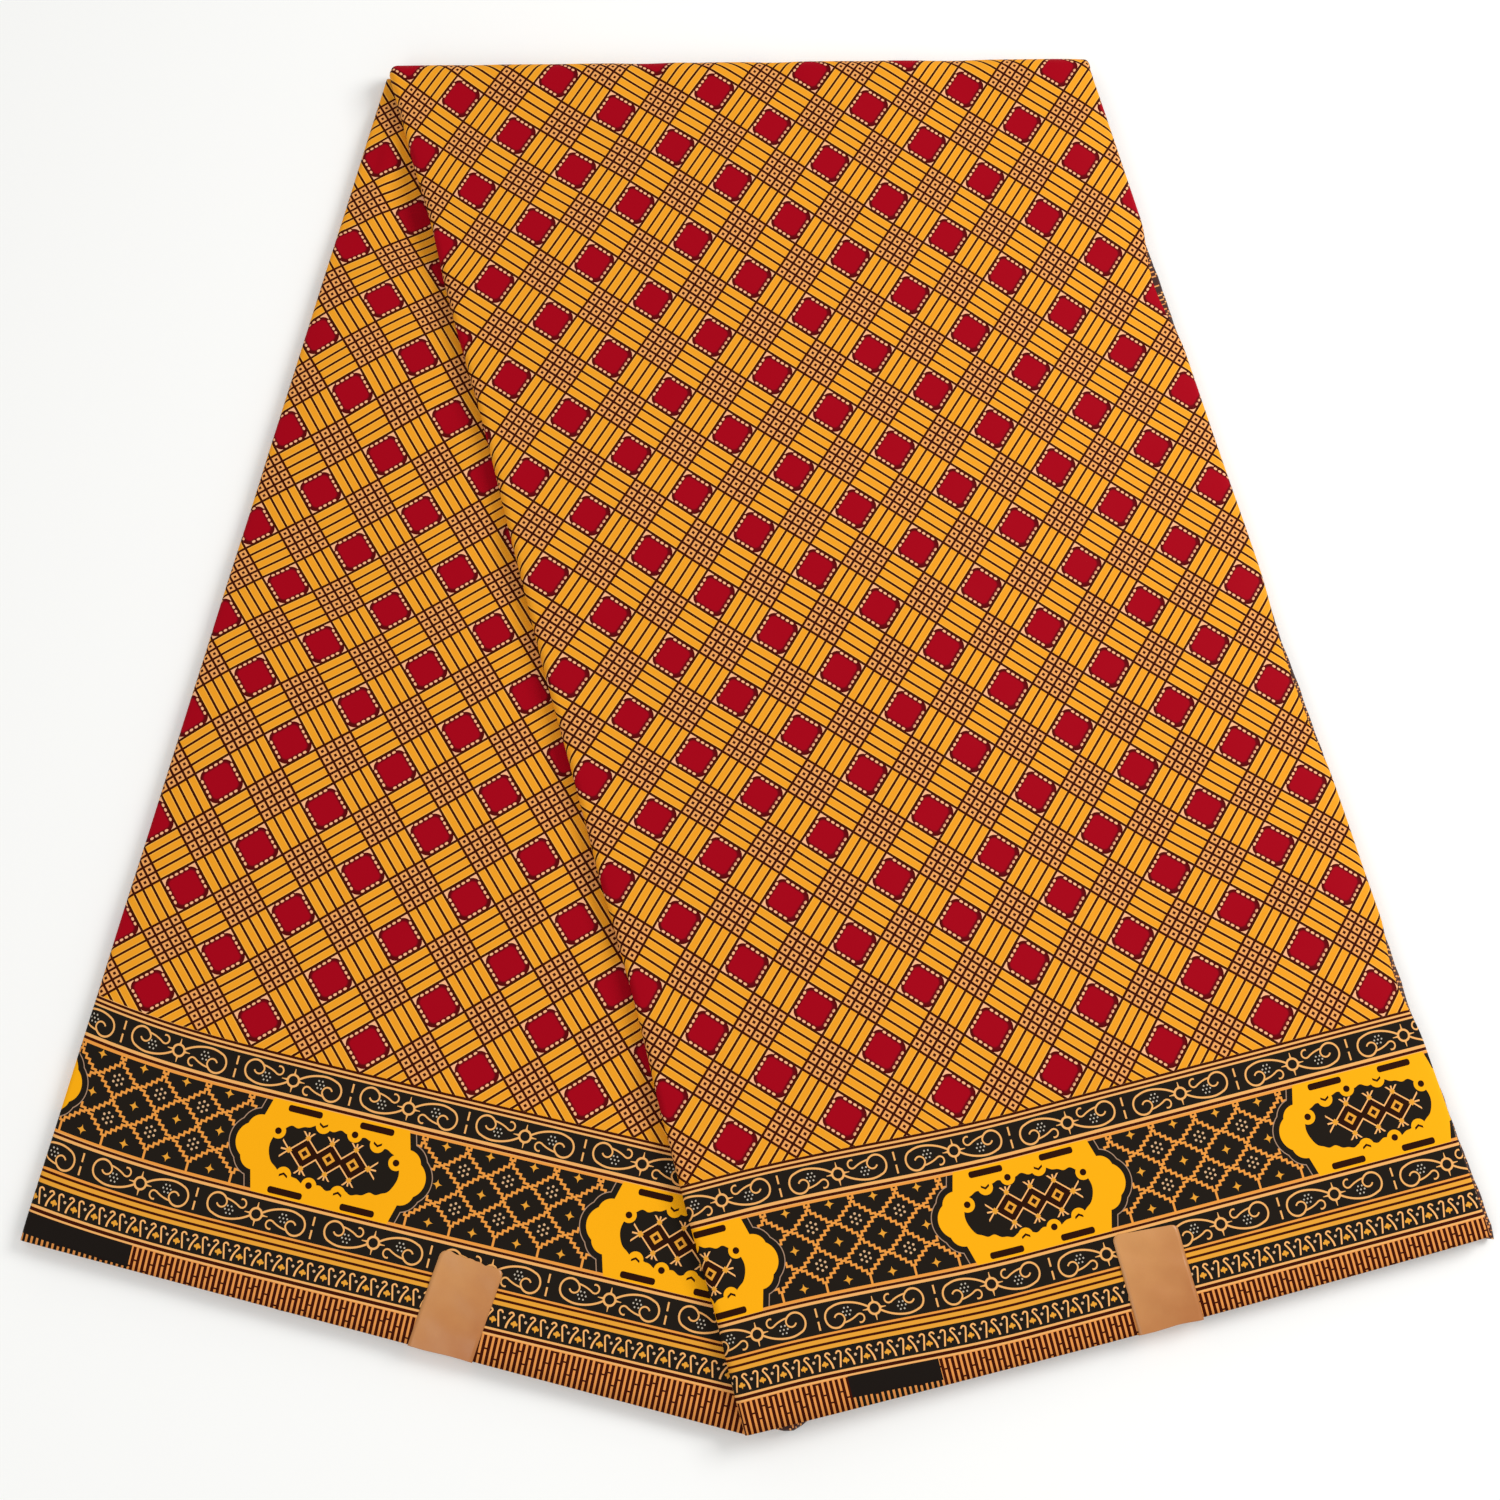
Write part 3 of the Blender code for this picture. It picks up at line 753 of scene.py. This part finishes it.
comb = {"pitch": 2.094, "bars": 8, "barHalf": 0.60, "top": 8.1, "linkHalf": 0.30,
        "ticks": 0.4, "blockOver": 0.2, "paleOver": 0.25,
        # height of the short link in each gap of a repeat, the arch first, and a place out of sight
        "links": (7.75, 3.35, 0.3, None, 3.4, 1.0, 5.2, 4.1), "noLink": -20.0}


def combPrint(tree, arch, block):
    # upright bars along the selvage with short links, a line over them, and one bare dark block
    u, v = readMap(tree, "border")
    pitch, top = comb["pitch"], comb["top"]
    lean = u - (arch - pitch / 2)
    beside = (lean + 1000 * pitch * comb["bars"]).swing(pitch / 2)
    gap = (lean / pitch).wrap(0.0, comb["bars"]).floor()
    height = comb["noLink"] + sum(gap.near(k, 0.1) * (level - comb["noLink"])
                                  for k, level in enumerate(comb["links"]) if level is not None)
    dark = ((beside < comb["barHalf"]) | v.near(height, comb["linkHalf"])) & (v < top)
    inBlock = u.near((block[0] + block[1]) / 2, (block[1] - block[0]) / 2) & (v < top + comb["blockOver"])
    ticks = (v < comb["ticks"]) & (beside > comb["barHalf"])
    # painted shade: the comb's ground is a darker orange for the shade where the hem turns down
    colour = lay("shadedOrange", (v > top + comb["paleOver"], "strand"), (dark, "brown"), (inBlock & (1 - ticks), "black"))
    return striped(v, colour, "comb")


hooks = {"stroke": 0.32, "leftStroke": 1.15, "foot": 12.0, "top": 17.05,
         "left": (1.95, 1.25), "right": (1.25, 1.45),   # how far each leans, and its foot from the middle
         "curl": 0.85, "curlStroke": 0.31, "curlPlaces": (-2.35, 1.85),
         "dot": (15.5, 0.52), "fan": 14.1, "lobes": ((0.0, 0.45, 0.62), (0.78, -0.1, 0.52)), "stem": (1.5, 0.5),
         "paleFrom": 19.35, "orangeFrom": 24.2}


def hookPrint(tree, repeat, first, seam=None):
    # pairs of hooks with a dot between them and a small fan outside them, then a line pair.
    # A seam is a place where the repeat starts again: below it, its own repeat and first
    u, v = readMap(tree, "border")
    x = (u - first).wrap(-repeat / 2, repeat / 2)
    if seam:
        place, otherRepeat, otherFirst = seam
        before = u < place
        x = x * (1 - before) + (u - otherFirst).wrap(-otherRepeat / 2, otherRepeat / 2) * before
    spot = spotOf(x, v)
    foot, top, stroke, fanUp = hooks["foot"], hooks["top"], hooks["stroke"], hooks["fan"]
    share = (v - foot) / (top - foot)
    (leftLean, leftOff), (rightLean, rightOff) = hooks["left"], hooks["right"]
    left = (x + (share * share * leftLean + leftOff)).near(0.0, stroke * hooks["leftStroke"])
    right = (x - (share * rightLean + rightOff)).near(0.0, stroke)
    curls = [ring(spot, (place, top), hooks["curl"], hooks["curlStroke"]) for place in hooks["curlPlaces"]]
    strokes = ((left | right) & v.near((foot + top) / 2, (top - foot) / 2)) | ((curls[0] | curls[1]) & (v > top))
    side = repeat / 2 - abs(x)
    lobes = [disc(spotOf(side, v), (placeX, fanUp + placeY), radius) for placeX, placeY, radius in hooks["lobes"]]
    stemTall, stemLean = hooks["stem"]
    stem = (side < (v - (fanUp - stemTall)) * stemLean) & (v < fanUp)
    dotUp, dotRadius = hooks["dot"]
    colour = lay("night", (strokes, "peach"), (disc(spot, (0.0, dotUp), dotRadius), "thread"),
                 (lobes[0] | lobes[1] | stem, "amber"), (v > hooks["paleFrom"], "amber"),
                 (v > hooks["orangeFrom"], "orange"))
    return striped(v, colour, "hooks")


def dotCluster(spot, pitch, radius):
    # seven dots: one in the middle and six round it. The spot holds positive distances
    mask = disc(spot, (0.0, 0.0), radius) | disc(spot, (pitch, 0.0), radius)
    return mask | disc(spot, (pitch * 0.5, pitch * 0.866), radius)


scrolls = {"repeat": 45.0, "narrow": 1.06, "stroke": 0.37, "fine": 0.31, "eye": 1.75, "eyeRing": 2.55,
           "ray": 4.4, "rayPinch": (1.6, 0.4), "dashHalf": 0.34, "dashUp": (2.45, 1.65),
           "cluster": (-10.9, 0.85), "clusterPitch": 1.55, "clusterDot": 0.34}


def scrollPrint(tree, middle, dark, lines, first, dashAt):
    # a ringed eye with four rays and two curled tendrils, point-symmetric, with a dashed line between
    u, v = readMap(tree, "border")
    size, half = scrolls, scrolls["repeat"] / 2
    stroke, fine = size["stroke"], size["fine"]
    x = (u - first).wrap(-half, half)
    y = v - middle
    ax, ay = abs(x), abs(y)
    tx, ty = ax * -size["narrow"], y * (0 - x.sign())
    spot = spotOf(tx, ty)
    # arcs of a tendril, from the eye outwards and then round its curl: a ring and where it shows
    arcs = ((ring(spot, (-12.6, -14.25), 18.4, stroke), tx.near(-7.45, 5.15) & (ty > 0)),
            (ring(spot, (-12.6, -7.35), 11.5, stroke), tx.near(-14.9, 2.4) & (ty > 0)),
            (ring(spot, (-16.0, -0.5), 3.9, stroke), (tx < -17.1) | ((ty < -0.5) & (tx < -12.75))),
            (ring(spot, (-14.39, -1.5), 2.0, fine), tx * 0.559 + ty > -9.7),
            (ring(spot, (-14.2, 10.4), 13.5, fine), tx.near(-10.1, 3.0) & (ty < 0)),
            (ring(spot, (-6.3, -2.5), 1.58, fine), (tx > -7.0) | (ty > -1.35)))
    pinch, rayHalf = size["rayPinch"]
    rays = (ax.least(ay) * (ax.most(ay) - pinch) < rayHalf) & (ax.most(ay) < size["ray"])
    dashes = (x - dashAt).wrap(-half, half).near(0.0, size["dashHalf"]) & ay.near(*size["dashUp"])
    away = far(spotOf(x, y))
    marks = rays | (away < size["eyeRing"]) | dashes
    for arc, shown in arcs:
        marks = marks | (arc & shown)
    clusterX, clusterY = size["cluster"]
    dots = dotCluster(spotOf(abs(tx - clusterX), abs(ty - clusterY)), size["clusterPitch"], size["clusterDot"])
    colour = lay("night", (marks, "strand"), (away < size["eye"], "night"), (dots, "grey"))
    colour = lay("strand", (v.near((dark[0] + dark[1]) / 2, (dark[1] - dark[0]) / 2), colour))
    return striped(v, colour, lines)


medallion = {
    "repeat": 135.0, "first": 113.0, "middle": 55.9, "bandShift": 0.2, "bandHalf": 16.6,
    "shift": 0.8, "halfWidth": 28.4, "flare": (10, 0.28),
    "lobe": (29.3, 0.0, 7.3), "shoulder": (28.2, 5.0, 5.3),
    "paleLine": (2.45, 0.18),
    # the dark heart
    "ovalHalf": (25.0, 10.6), "ovalPower": (2.4, 2.6), "ovalShift": 2.1, "notch": 2.9,
    "waves": ((0.62, 0.0, 0.5), (1.37, 1.0, 0.28)),
    "discs": ((-7.4, 11.0), (-25.0, 4.5), (21.0, 5.8), (4.8, -11.0)), "discRadius": 1.25,
    # birds are mirrored through the middle too
    "birds": ((-15.8, 9.3), (5.7, 11.4)), "wing": (1.6, 0.62, -0.4, 0.45),
    "barPlace": (1.1, 13.9, 0.35, 15.3), "barHalf": (6.6, 1.25), "barRound": 1.0,
    # linked lozenges
    "pitch": 9.3, "peak": 5.7, "slope": 0.945, "stroke": 0.36,
    "fork": (1.1, 1.15, 0.9, 0.38, 0.3), "endFork": (1.5, 1.6, 0.4, 0.32),
    "goldRing": (1.9, 0.64), "goldTips": (1.1, 1.3), "lineEnd": -0.1,
    # the ground round the medallions
    "ground": (16.9, 14.2), "groundAt": (0.25, 0.5), "steps": 5, "groundStroke": 0.4,
    "knot": (1.15, 0.95, 0.42), "stemsBelow": -13.9, "dots": (1.9, 0.47, 5.0), "star": (0.4, 0.92, 1.95),
}


def groundPrint(x, y, edge):
    # stepped lozenges, alternately with seven dots and a four-pointed star
    size = medallion
    half = size["repeat"] / 2
    wide, tall = size["ground"]
    groundX, groundY = size["groundAt"]
    gx = abs((x - half - groundX).wrap(-half, half).wrap(-wide / 2, wide / 2))
    gy = abs((y + (tall / 2 - groundY)).wrap(-tall / 2, tall / 2))
    steps, stroke = size["steps"], size["groundStroke"]

    def inside(grow):
        across, up = (gx - grow) / (wide / 2 / steps) + 0.5, (gy - grow) / (tall / 2 / steps) + 0.5
        return across.floor() + up.floor() < steps - 0.5

    knotX, knotY, knotHalf = size["knot"]
    knots = ((gx > wide / 2 - knotX) & (gy < knotHalf)) | ((gy > tall / 2 - knotY) & (gx < knotHalf))
    low = y < size["stemsBelow"]
    stairs = (((inside(stroke) & (1 - inside(-stroke))) | knots) & (1 - low)) | (low & (gx < knotHalf))
    dotPitch, dotRadius, dotsFrom = size["dots"]
    dots = dotCluster(spotOf(gy, gx), dotPitch, dotRadius) & (edge > dotsFrom)
    grow, pinch, reach = size["star"]
    starX, starY = wide / 2 - gx, tall / 2 - gy
    star = ((starX + grow) * (starY + grow) < pinch) & (starX.most(starY) < reach)
    return lay("night", (stairs, "orange"), (dots, "thread"), (star, "amber"))


def figurePrint(x, ax, ay):
    # linked lozenges with forked tips
    pitch, peak, slope, line = [medallion[name] for name in ("pitch", "peak", "slope", "stroke")]
    turn = (x / pitch + 0.5).floor().most(-1.0).least(1.0)
    lx = abs(x - turn * pitch)
    height = peak - lx * slope
    tipY, endX = ay - peak, ax - (pitch + peak / slope)
    forkUp, forkTall, forkLean, forkHalf, stemHalf = medallion["fork"]
    tips = tipY.near(forkUp, forkTall) & (lx.near(tipY * forkLean, forkHalf) | (lx < stemHalf))
    endUp, endTall, endHalf, endStem = medallion["endFork"]
    ends = endX.near(endUp, endTall) & (ay.near(endX, endHalf) | (ay < endStem))
    tipGold, endGold = medallion["goldTips"]
    gold = (lx + abs(tipY) < tipGold) | (ay + abs(endX) < endGold) | (lx + ay).near(*medallion["goldRing"])
    zigzag = ay.near(height, line) & (height > medallion["lineEnd"])
    return lay("night", ((ay < height) & (height > 0), "umber"), (zigzag | tips | ends, "peach"), (gold, "amber"))


def medallionPrint(tree):
    # yellow medallions with a dark wavy heart, on a dark ground of stepped lozenges
    u, v = readMap(tree, "border")
    size = medallion
    half = size["repeat"] / 2
    x = (u - size["first"]).wrap(-half, half)
    y = v - size["middle"]
    ax, ay = abs(x), abs(y)
    ex = abs(x + size["shift"])
    flareFrom, flare = size["flare"]
    edge = ex + (ay - flareFrom).most(0.0) * flare - size["halfWidth"]
    for name in ("lobe", "shoulder"):
        placeX, placeY, radius = size[name]
        edge = edge.least(far(spotOf(ex, ay), placeX, placeY) - radius)
    fromBand = abs(y + size["bandShift"])
    pale, paleHalf = size["paleLine"]
    colour = lay(groundPrint(x, y, edge), (fromBand > size["bandHalf"], "orange"),
                 ((edge < pale + paleHalf) & (fromBand < size["bandHalf"]), "line"),
                 ((edge < pale - paleHalf) & (fromBand < size["bandHalf"]), "night"), (edge < 0.0, "yellow"))

    def nearest(spot, places):
        found = far(spot, *places[0])
        for place in places[1:]:
            found = found.least(far(spot, *place))
        return found

    # the dark heart, with notches round small discs and birds
    mirrored = (x + size["shift"]) * y.sign()
    toDisc, toBird = nearest(spotOf(x, y), size["discs"]), nearest(spotOf(mirrored, ay), size["birds"])
    (ovalX, ovalY), (powerX, powerY) = size["ovalHalf"], size["ovalPower"]
    waved = ay + sum((x * pace + start).sine() * height for pace, start, height in size["waves"])
    heart = (abs(x + size["ovalShift"]) / ovalX) ** powerX + (waved / ovalY) ** powerY < 1
    heart = heart & (toDisc.least(toBird) > size["notch"])
    marks = toDisc < size["discRadius"]
    reach, lean, low, thick = size["wing"]
    for placeX, placeY in size["birds"]:
        birdX, birdY = abs(mirrored - placeX), ay - placeY
        marks = marks | ((birdX < reach) & (birdY - birdX * lean).near(low, thick))
    # rounded bars along the medallion's long sides
    shiftX, barX, shiftY, barY = size["barPlace"]
    (barWide, barTall), curve = size["barHalf"], size["barRound"]
    fromBarX = (abs(abs(x + shiftX) - barX) - (barWide - curve)).most(0.0)
    fromBarY = (abs(abs(y + shiftY) - barY) - (barTall - curve)).most(0.0)
    marks = marks | (far(spotOf(fromBarX, fromBarY)) < curve)
    return lay(colour, (heart, figurePrint(x, ax, ay)), (marks, "umber"))


def newMaterial(name, plain, drawing=None):
    # plain values are the same all over. The drawing gives the wires of the shader's other sockets
    material = bpy.data.materials.new(name)
    material.use_nodes = True
    tree = material.node_tree
    shader = tree.nodes["Principled BSDF"]
    for socket, value in plain.items():
        shader.inputs[socket].default_value = value
    for socket, wire in (drawing(tree) if drawing else {}).items():
        tree.links.new(wire.socket, shader.inputs[socket])
    return material


def relieved(height, strength, distance):
    return height.node("ShaderNodeBump", {}, {"Strength": strength, "Distance": distance, "Height": height})


cloth = {"roughness": 0.60, "uneven": 0.16, "gloss": 0.05, "thread": 0.42, "threadRise": 0.5, "slubRise": 1.2,
         "slubScale": 0.9, "dullScale": 0.05, "weaveDepth": 0.00004, "bump": 0.35}


def clothMaterial(name, printOf):
    def drawing(tree):
        colour = printOf(tree)
        u, v = readMap(tree, "border")
        turns = 2 * math.pi / cloth["thread"]
        slub = noise(spotOf(u, v), cloth["slubScale"], 3.0)
        dull = noise(spotOf(u, v), cloth["dullScale"])
        height = (u * turns).sine() * (v * turns).sine() * cloth["threadRise"] + slub * cloth["slubRise"]
        return {"Base Color": colour, "Roughness": dull * cloth["uneven"] + cloth["roughness"],
                "Normal": relieved(height, cloth["bump"], cloth["weaveDepth"])}

    return newMaterial(name, {"Specular IOR Level": cloth["gloss"]}, drawing)


edges = {"bits": (0.28, 7.3), "dark": 0.56, "pale": 0.42, "tick": 1.06, "tickHalf": 0.74, "tickStep": 0.9,
         "roughness": 0.8, "sheen": 0.1, "grain": 2.0, "bump": 0.4, "grainDepth": 0.0002}


def edgeMaterial(name):
    # folded and cut edges: the print crosses them as short bits of its colours
    def drawing(tree):
        along, layer = readMap(tree, "layers")
        length, step = edges["bits"]
        bits = noise(spotOf(along * length, layer.floor() * step), 1.0, 1.0, "2D")
        ticks = (along + layer.floor() * edges["tickStep"]).swing(edges["tick"]) < edges["tickHalf"]
        colour = lay("shadedOrange", (bits > edges["dark"], "umber"), (bits < edges["pale"], "strand"), (ticks, "brown"))
        grain = noise(spotOf(along * edges["grain"], layer * edges["grain"]), 1.0)
        return {"Base Color": colour, "Normal": relieved(grain, edges["bump"], edges["grainDepth"])}

    return newMaterial(name, {"Roughness": edges["roughness"], "Sheen Weight": edges["sheen"]}, drawing)


# label paper: dark and pale are the two ends of a painted sheen across each label
paper = {"dark": linear(182, 112, 54), "pale": linear(212, 150, 86), "fibre": linear(160, 100, 50),
         "fibreShow": 0.12, "fibreScale": (3.0, 0.8), "mottleScale": 0.12, "mottle": 0.5,
         "slope": 60, "paintedSheen": 0.35, "roughness": (0.2, 0.28), "coat": 0.15, "coatRoughness": 0.3,
         "bump": 0.3, "depth": 0.00008}


def paperMaterial(name):
    def drawing(tree):
        x, y = readMap(tree, "paper")
        mottle = noise(spotOf(x, y), paper["mottleScale"], 3.0)
        scaleX, scaleY = paper["fibreScale"]
        fibre = noise(spotOf(x * scaleX, y * scaleY), 1.0, 4.0)
        # painted sheen: the paper is painted paler towards its top left, with random mottle of the paper's own tone
        # over it
        paintedSheen = (y - x) / paper["slope"] + paper["paintedSheen"] + (mottle - 0.5) * paper["mottle"]
        colour = lay(paper["dark"], (paintedSheen.least(1.0).most(0.0), paper["pale"]),
                     (fibre * paper["fibreShow"], paper["fibre"]))
        gain, least = paper["roughness"]
        return {"Base Color": colour, "Roughness": fibre * gain + least,
                "Normal": relieved(fibre + mottle * 2.0, paper["bump"], paper["depth"])}

    return newMaterial(name, {"Coat Weight": paper["coat"], "Coat Roughness": paper["coatRoughness"]}, drawing)


print("materials")
# hook repeat and first pair, and where on the right the repeat starts again
rightHooks = clothMaterial("right_hook_band", lambda tree: hookPrint(tree, 8.1, 171.2, (150.0, 7.94, 80.64)))
leftHooks = clothMaterial("left_hook_band", lambda tree: hookPrint(tree, 8.06, 148.15))
# the band's middle, its dark stretch, its lines, the first eye and the dashed line
lowerScrolls = clothMaterial("lower_scroll_band",
                             lambda tree: scrollPrint(tree, 30.4, (25.0, 36.05), "lower", -0.9, 23.4))
upperScrolls = clothMaterial("upper_scroll_band",
                             lambda tree: scrollPrint(tree, 80.9, (75.7, 86.3), "upper", -1.6, 22.3))
medallions = clothMaterial("medallion_band", medallionPrint)
# how far the red is printed off its square
rightCheck = clothMaterial("right_check_field", lambda tree: checkPrint(tree, (0.42, 0.0)))
leftCheck = clothMaterial("left_check_field", lambda tree: checkPrint(tree, (-0.08, -0.05)))
# an arch of the comb, and the ends of the dark block
rightSelvage = clothMaterial("right_selvage", lambda tree: combPrint(tree, 200.5, (28.0, 62.5)))
leftSelvage = clothMaterial("left_selvage", lambda tree: combPrint(tree, 114.8, (175.7, 224.0)))
foldedEdges = edgeMaterial("folded_edges")
satinPaper = paperMaterial("satin_paper")

sharedBands = [lowerScrolls, medallions, upperScrolls]
rightFinishes = [rightSelvage, rightHooks, *sharedBands, rightCheck]
leftFinishes = [leftSelvage, leftHooks, *sharedBands, leftCheck]

print("panels")
rightCloth = buildRightPanel(rightPanel, rightFinishes)
leftCloth = buildLeftPanel(leftPanel, leftFinishes)

print("folded layers")
lowerFolded, upperFolded = buildFoldedLayers(foldedLayers, foldedEdges)

# The lowest layers lie on the floor: the left strip all the way across, and what the right one adds.
underlayer = {"height": 0.00005, "columns": 60, "fieldRows": 90, "lastUp": 0.992,
              "edgeLift": 0.0011, "edgeSpan": 0.004, "setIn": 0.0004}


def buildUnderlayer(name, side, startAt, endAt, size, finishes):
    share = np.linspace(0.0, 1.0, size["columns"])
    rise = borderLay[side]["rise"]
    ups = [0.0] + [max(0.0, (level + rise) / 1000 / columnTall["underlayer"]) for level in borderLevels]
    ups += [between(ups[-1], size["lastUp"], k / size["fieldRows"]) for k in range(1, size["fieldRows"] + 1)]
    grid, flat = [], []
    for up in ups:
        start, end = startAt(np.full(len(share), up)), endAt(np.full(len(share), up))
        way = unit(end - start)
        plan = between(start + way * size["setIn"], end - way * size["setIn"], col(share))
        fromEdge = np.minimum(share, 1 - share) * apart(end, start)
        grid.append(raised(plan, size["height"] + size["edgeLift"] * fading(fromEdge, size["edgeSpan"])))
        flat.append(plan)
    levels = levelsOf(size["fieldRows"])
    return clothSheet(name, np.array(grid), np.array(flat), side, finishes, levels, flip=True)


def stripEnd(up):
    return between(tip, topRight, col(up))


leftUnder = buildUnderlayer("left_underlayer", "left", leftEdgeAt, stripEnd, underlayer, leftFinishes)
rightUnder = buildUnderlayer("right_underlayer", "right", stripEnd, rightEdgeAt, underlayer, rightFinishes)

print("labels")
labels = {
    "left": {"first": 0.1520, "width": 0.0248, "length": 0.0352, "skew": 0.0026, "slope": -0.0018,
             "torn": 0.0004, "curl": 0.0},
    "right": {"first": 0.1502, "width": 0.0247, "length": 0.0378, "skew": 0.0006, "slope": -0.0013,
              "torn": 0.0, "curl": 0.0004},
    "thickness": 0.00016, "lift": 0.00025, "corner": 0.0024, "foot": 0.0016,
    "columns": 17, "rows": 34, "bendSteps": 9, "dropSteps": 8, "crowding": 1.4,
    "tornReach": 0.0012, "tears": (23, 9), "curlWide": 0.42, "curlTall": 0.008,
    # height, turns along and turns up of the paper's waves
    "waves": ((0.00012, 420, 260), (0.0001, 130, 520)), "edgeWave": (0.00015, 7),
}


def onRight(along, up):
    across, share = along / fan["rightHem"], up / fan["foldLength"]
    return rightPlan(across, share), rightHeight(across, share)


def onLeft(along, up):
    run = unit(tip - leftCorner)
    rise = np.array([-run[1], run[0]])
    plan = leftCorner + run * col(along) + rise * col(up)
    edgeLength = np.linalg.norm(topLeft - leftCorner)
    share = up / between(edgeLength, fan["foldLength"], along / fan["leftHem"])
    return plan, leftHeight(plan, share)


def buildLabel(name, side, place, heading, finish):
    size, mine = labels, labels[side]
    out = toward(1.0, heading - 90)
    shares = np.linspace(0.0, 1.0, size["columns"])
    rows, spots = [], []

    def row(up, angle, height=None):
        # rounded top corners and a slightly torn top edge
        fromTop = max(0.0, mine["length"] - up)
        inset = size["corner"] - math.sqrt(max(0.0, size["corner"] ** 2 - max(0.0, size["corner"] - fromTop) ** 2))
        along = mine["first"] + inset + (mine["width"] - 2 * inset) * shares + mine["skew"] * up / mine["length"]
        first, second = size["tears"]
        ragged = mine["torn"] * np.sin(shares * first) * np.sin(shares * second + 1) * (fromTop < size["tornReach"])
        ragged = ragged + mine["slope"] * (shares - 0.5) * max(0.0, up) / mine["length"]
        plan, top = place(along, np.full(len(along), max(up, 0.0)) + ragged)
        wave = sum(rise * np.sin(along * turnsAlong + up * turnsUp) for rise, turnsAlong, turnsUp in size["waves"])
        fade = 1.0 if up <= 0 else float(fading(up, size["curlTall"]))
        curl = mine["curl"] * bump(1 - shares, size["curlWide"]) * fade
        rise, turns = size["edgeWave"]
        reach = size["lift"] + size["thickness"] + curl + rise * np.sin(shares * turns)
        if height is None:
            height = top + (size["lift"] + size["thickness"] + wave + curl * 0.5) * math.cos(angle)
        rows.append(raised(plan + out * col(reach * math.sin(angle)), height + np.zeros(len(along))))
        spots.append(np.stack([(along - mine["first"]) * 1000, np.full(len(along), up * 1000)], -1))

    drop = float(place(np.array([mine["first"]]), np.array([0.0]))[1][0])
    for k in range(size["dropSteps"], 0, -1):
        row(-drop * k / size["dropSteps"], math.pi / 2, between(drop, size["foot"], k / size["dropSteps"]))
    for k in range(size["bendSteps"], 0, -1):
        row(0.0, math.pi / 2 * k / size["bendSteps"])
    for k in range(size["rows"] + 1):
        row(mine["length"] * (1 - (1 - k / size["rows"]) ** size["crowding"]), 0.0)
    places = np.array(spots).reshape(-1, 2)
    faces = gridFaces(len(rows), size["columns"])
    spots = {"OFBake": bakeMap(places, 0.02), "paper": places}
    return addMesh(name, np.array(rows).reshape(-1, 3) + fromMiddle, faces, spots,
                   [finish], np.zeros(len(faces)), size["thickness"])


leftPaper = buildLabel("left_label_paper", "left", onLeft, -fan["leftRise"], satinPaper)
rightPaper = buildLabel("right_label_paper", "right", onRight, fan["rightRise"], satinPaper)

# each piece, the part of the model that it stands for and hides, and a name for its finish; every piece rides on the
# root
pieces = [
    (rightCloth, "right_panel", "printed_cloth"),
    (leftCloth, "left_panel", "printed_cloth"),
    (lowerFolded, "hidden_layers", "folded_cloth"),
    (upperFolded, "hidden_layers", "folded_cloth"),
    (leftUnder, "hidden_layers", "folded_cloth"),
    (rightUnder, "hidden_layers", "folded_cloth"),
    (leftPaper, "left_label", "satin_paper"),
    (rightPaper, "right_label", "satin_paper"),
]
for piece, node, slotName in pieces:
    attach(piece, "root")
    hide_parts(node)

print("floor, light and camera")
studio = {
    "floor": 3.0,
    "floorColour": (0.985, 0.985, 0.965, 1.0),
    "floorRoughness": 0.9,
    "worldStrength": 0.60,
    "camera": (-0.0031, -0.1992, 0.8073),
    "cameraTilt": 12.54,
    "lens": 50.0,
    "sensor": 36.0,
    # place, aim, size, power
    "lights": (((0.98, 0.45, 0.92), (0.0, 0.0, 0.0), 0.6, 11.0),
               ((-0.7, -0.9, 1.3), (0.0, 0.0, 0.0), 1.0, 5.0)),
}

half = studio["floor"]
paleFloor = newMaterial("pale_floor", {"Base Color": studio["floorColour"], "Roughness": studio["floorRoughness"]})
floor = addMesh("floor", [(-half, -half, 0.0), (half, -half, 0.0), (half, half, 0.0), (-half, half, 0.0)],
                [(0, 1, 2, 3)], {}, [paleFloor], [0], 0.0)

world = bpy.data.worlds.new("soft_studio")
bpy.context.scene.world = world
world.use_nodes = True
sky = world.node_tree.nodes["Background"]
sky.inputs["Color"].default_value = (1.0, 1.0, 1.0, 1.0)
sky.inputs["Strength"].default_value = studio["worldStrength"]

for k, (place, aim, size, power) in enumerate(studio["lights"]):
    data = bpy.data.lights.new("soft_box_%d" % (k + 1), "AREA")
    data.size = size
    data.energy = power
    lamp = bpy.data.objects.new(data.name, data)
    lamp.location = place
    away = np.array(place) - np.array(aim)
    tilt, turn = math.acos(away[2] / np.linalg.norm(away)), math.atan2(away[1], away[0])
    lamp.rotation_euler = (tilt, 0.0, turn + math.pi / 2)
    bpy.context.scene.collection.objects.link(lamp)

lens = bpy.data.cameras.new("camera")
lens.lens = studio["lens"]
lens.sensor_width = studio["sensor"]
camera = bpy.data.objects.new("camera", lens)
camera.location = studio["camera"]
camera.rotation_euler = (math.radians(studio["cameraTilt"]), 0.0, 0.0)
bpy.context.scene.collection.objects.link(camera)
bpy.context.scene.camera = camera
bpy.context.scene.view_settings.view_transform = "Standard"

print("done")
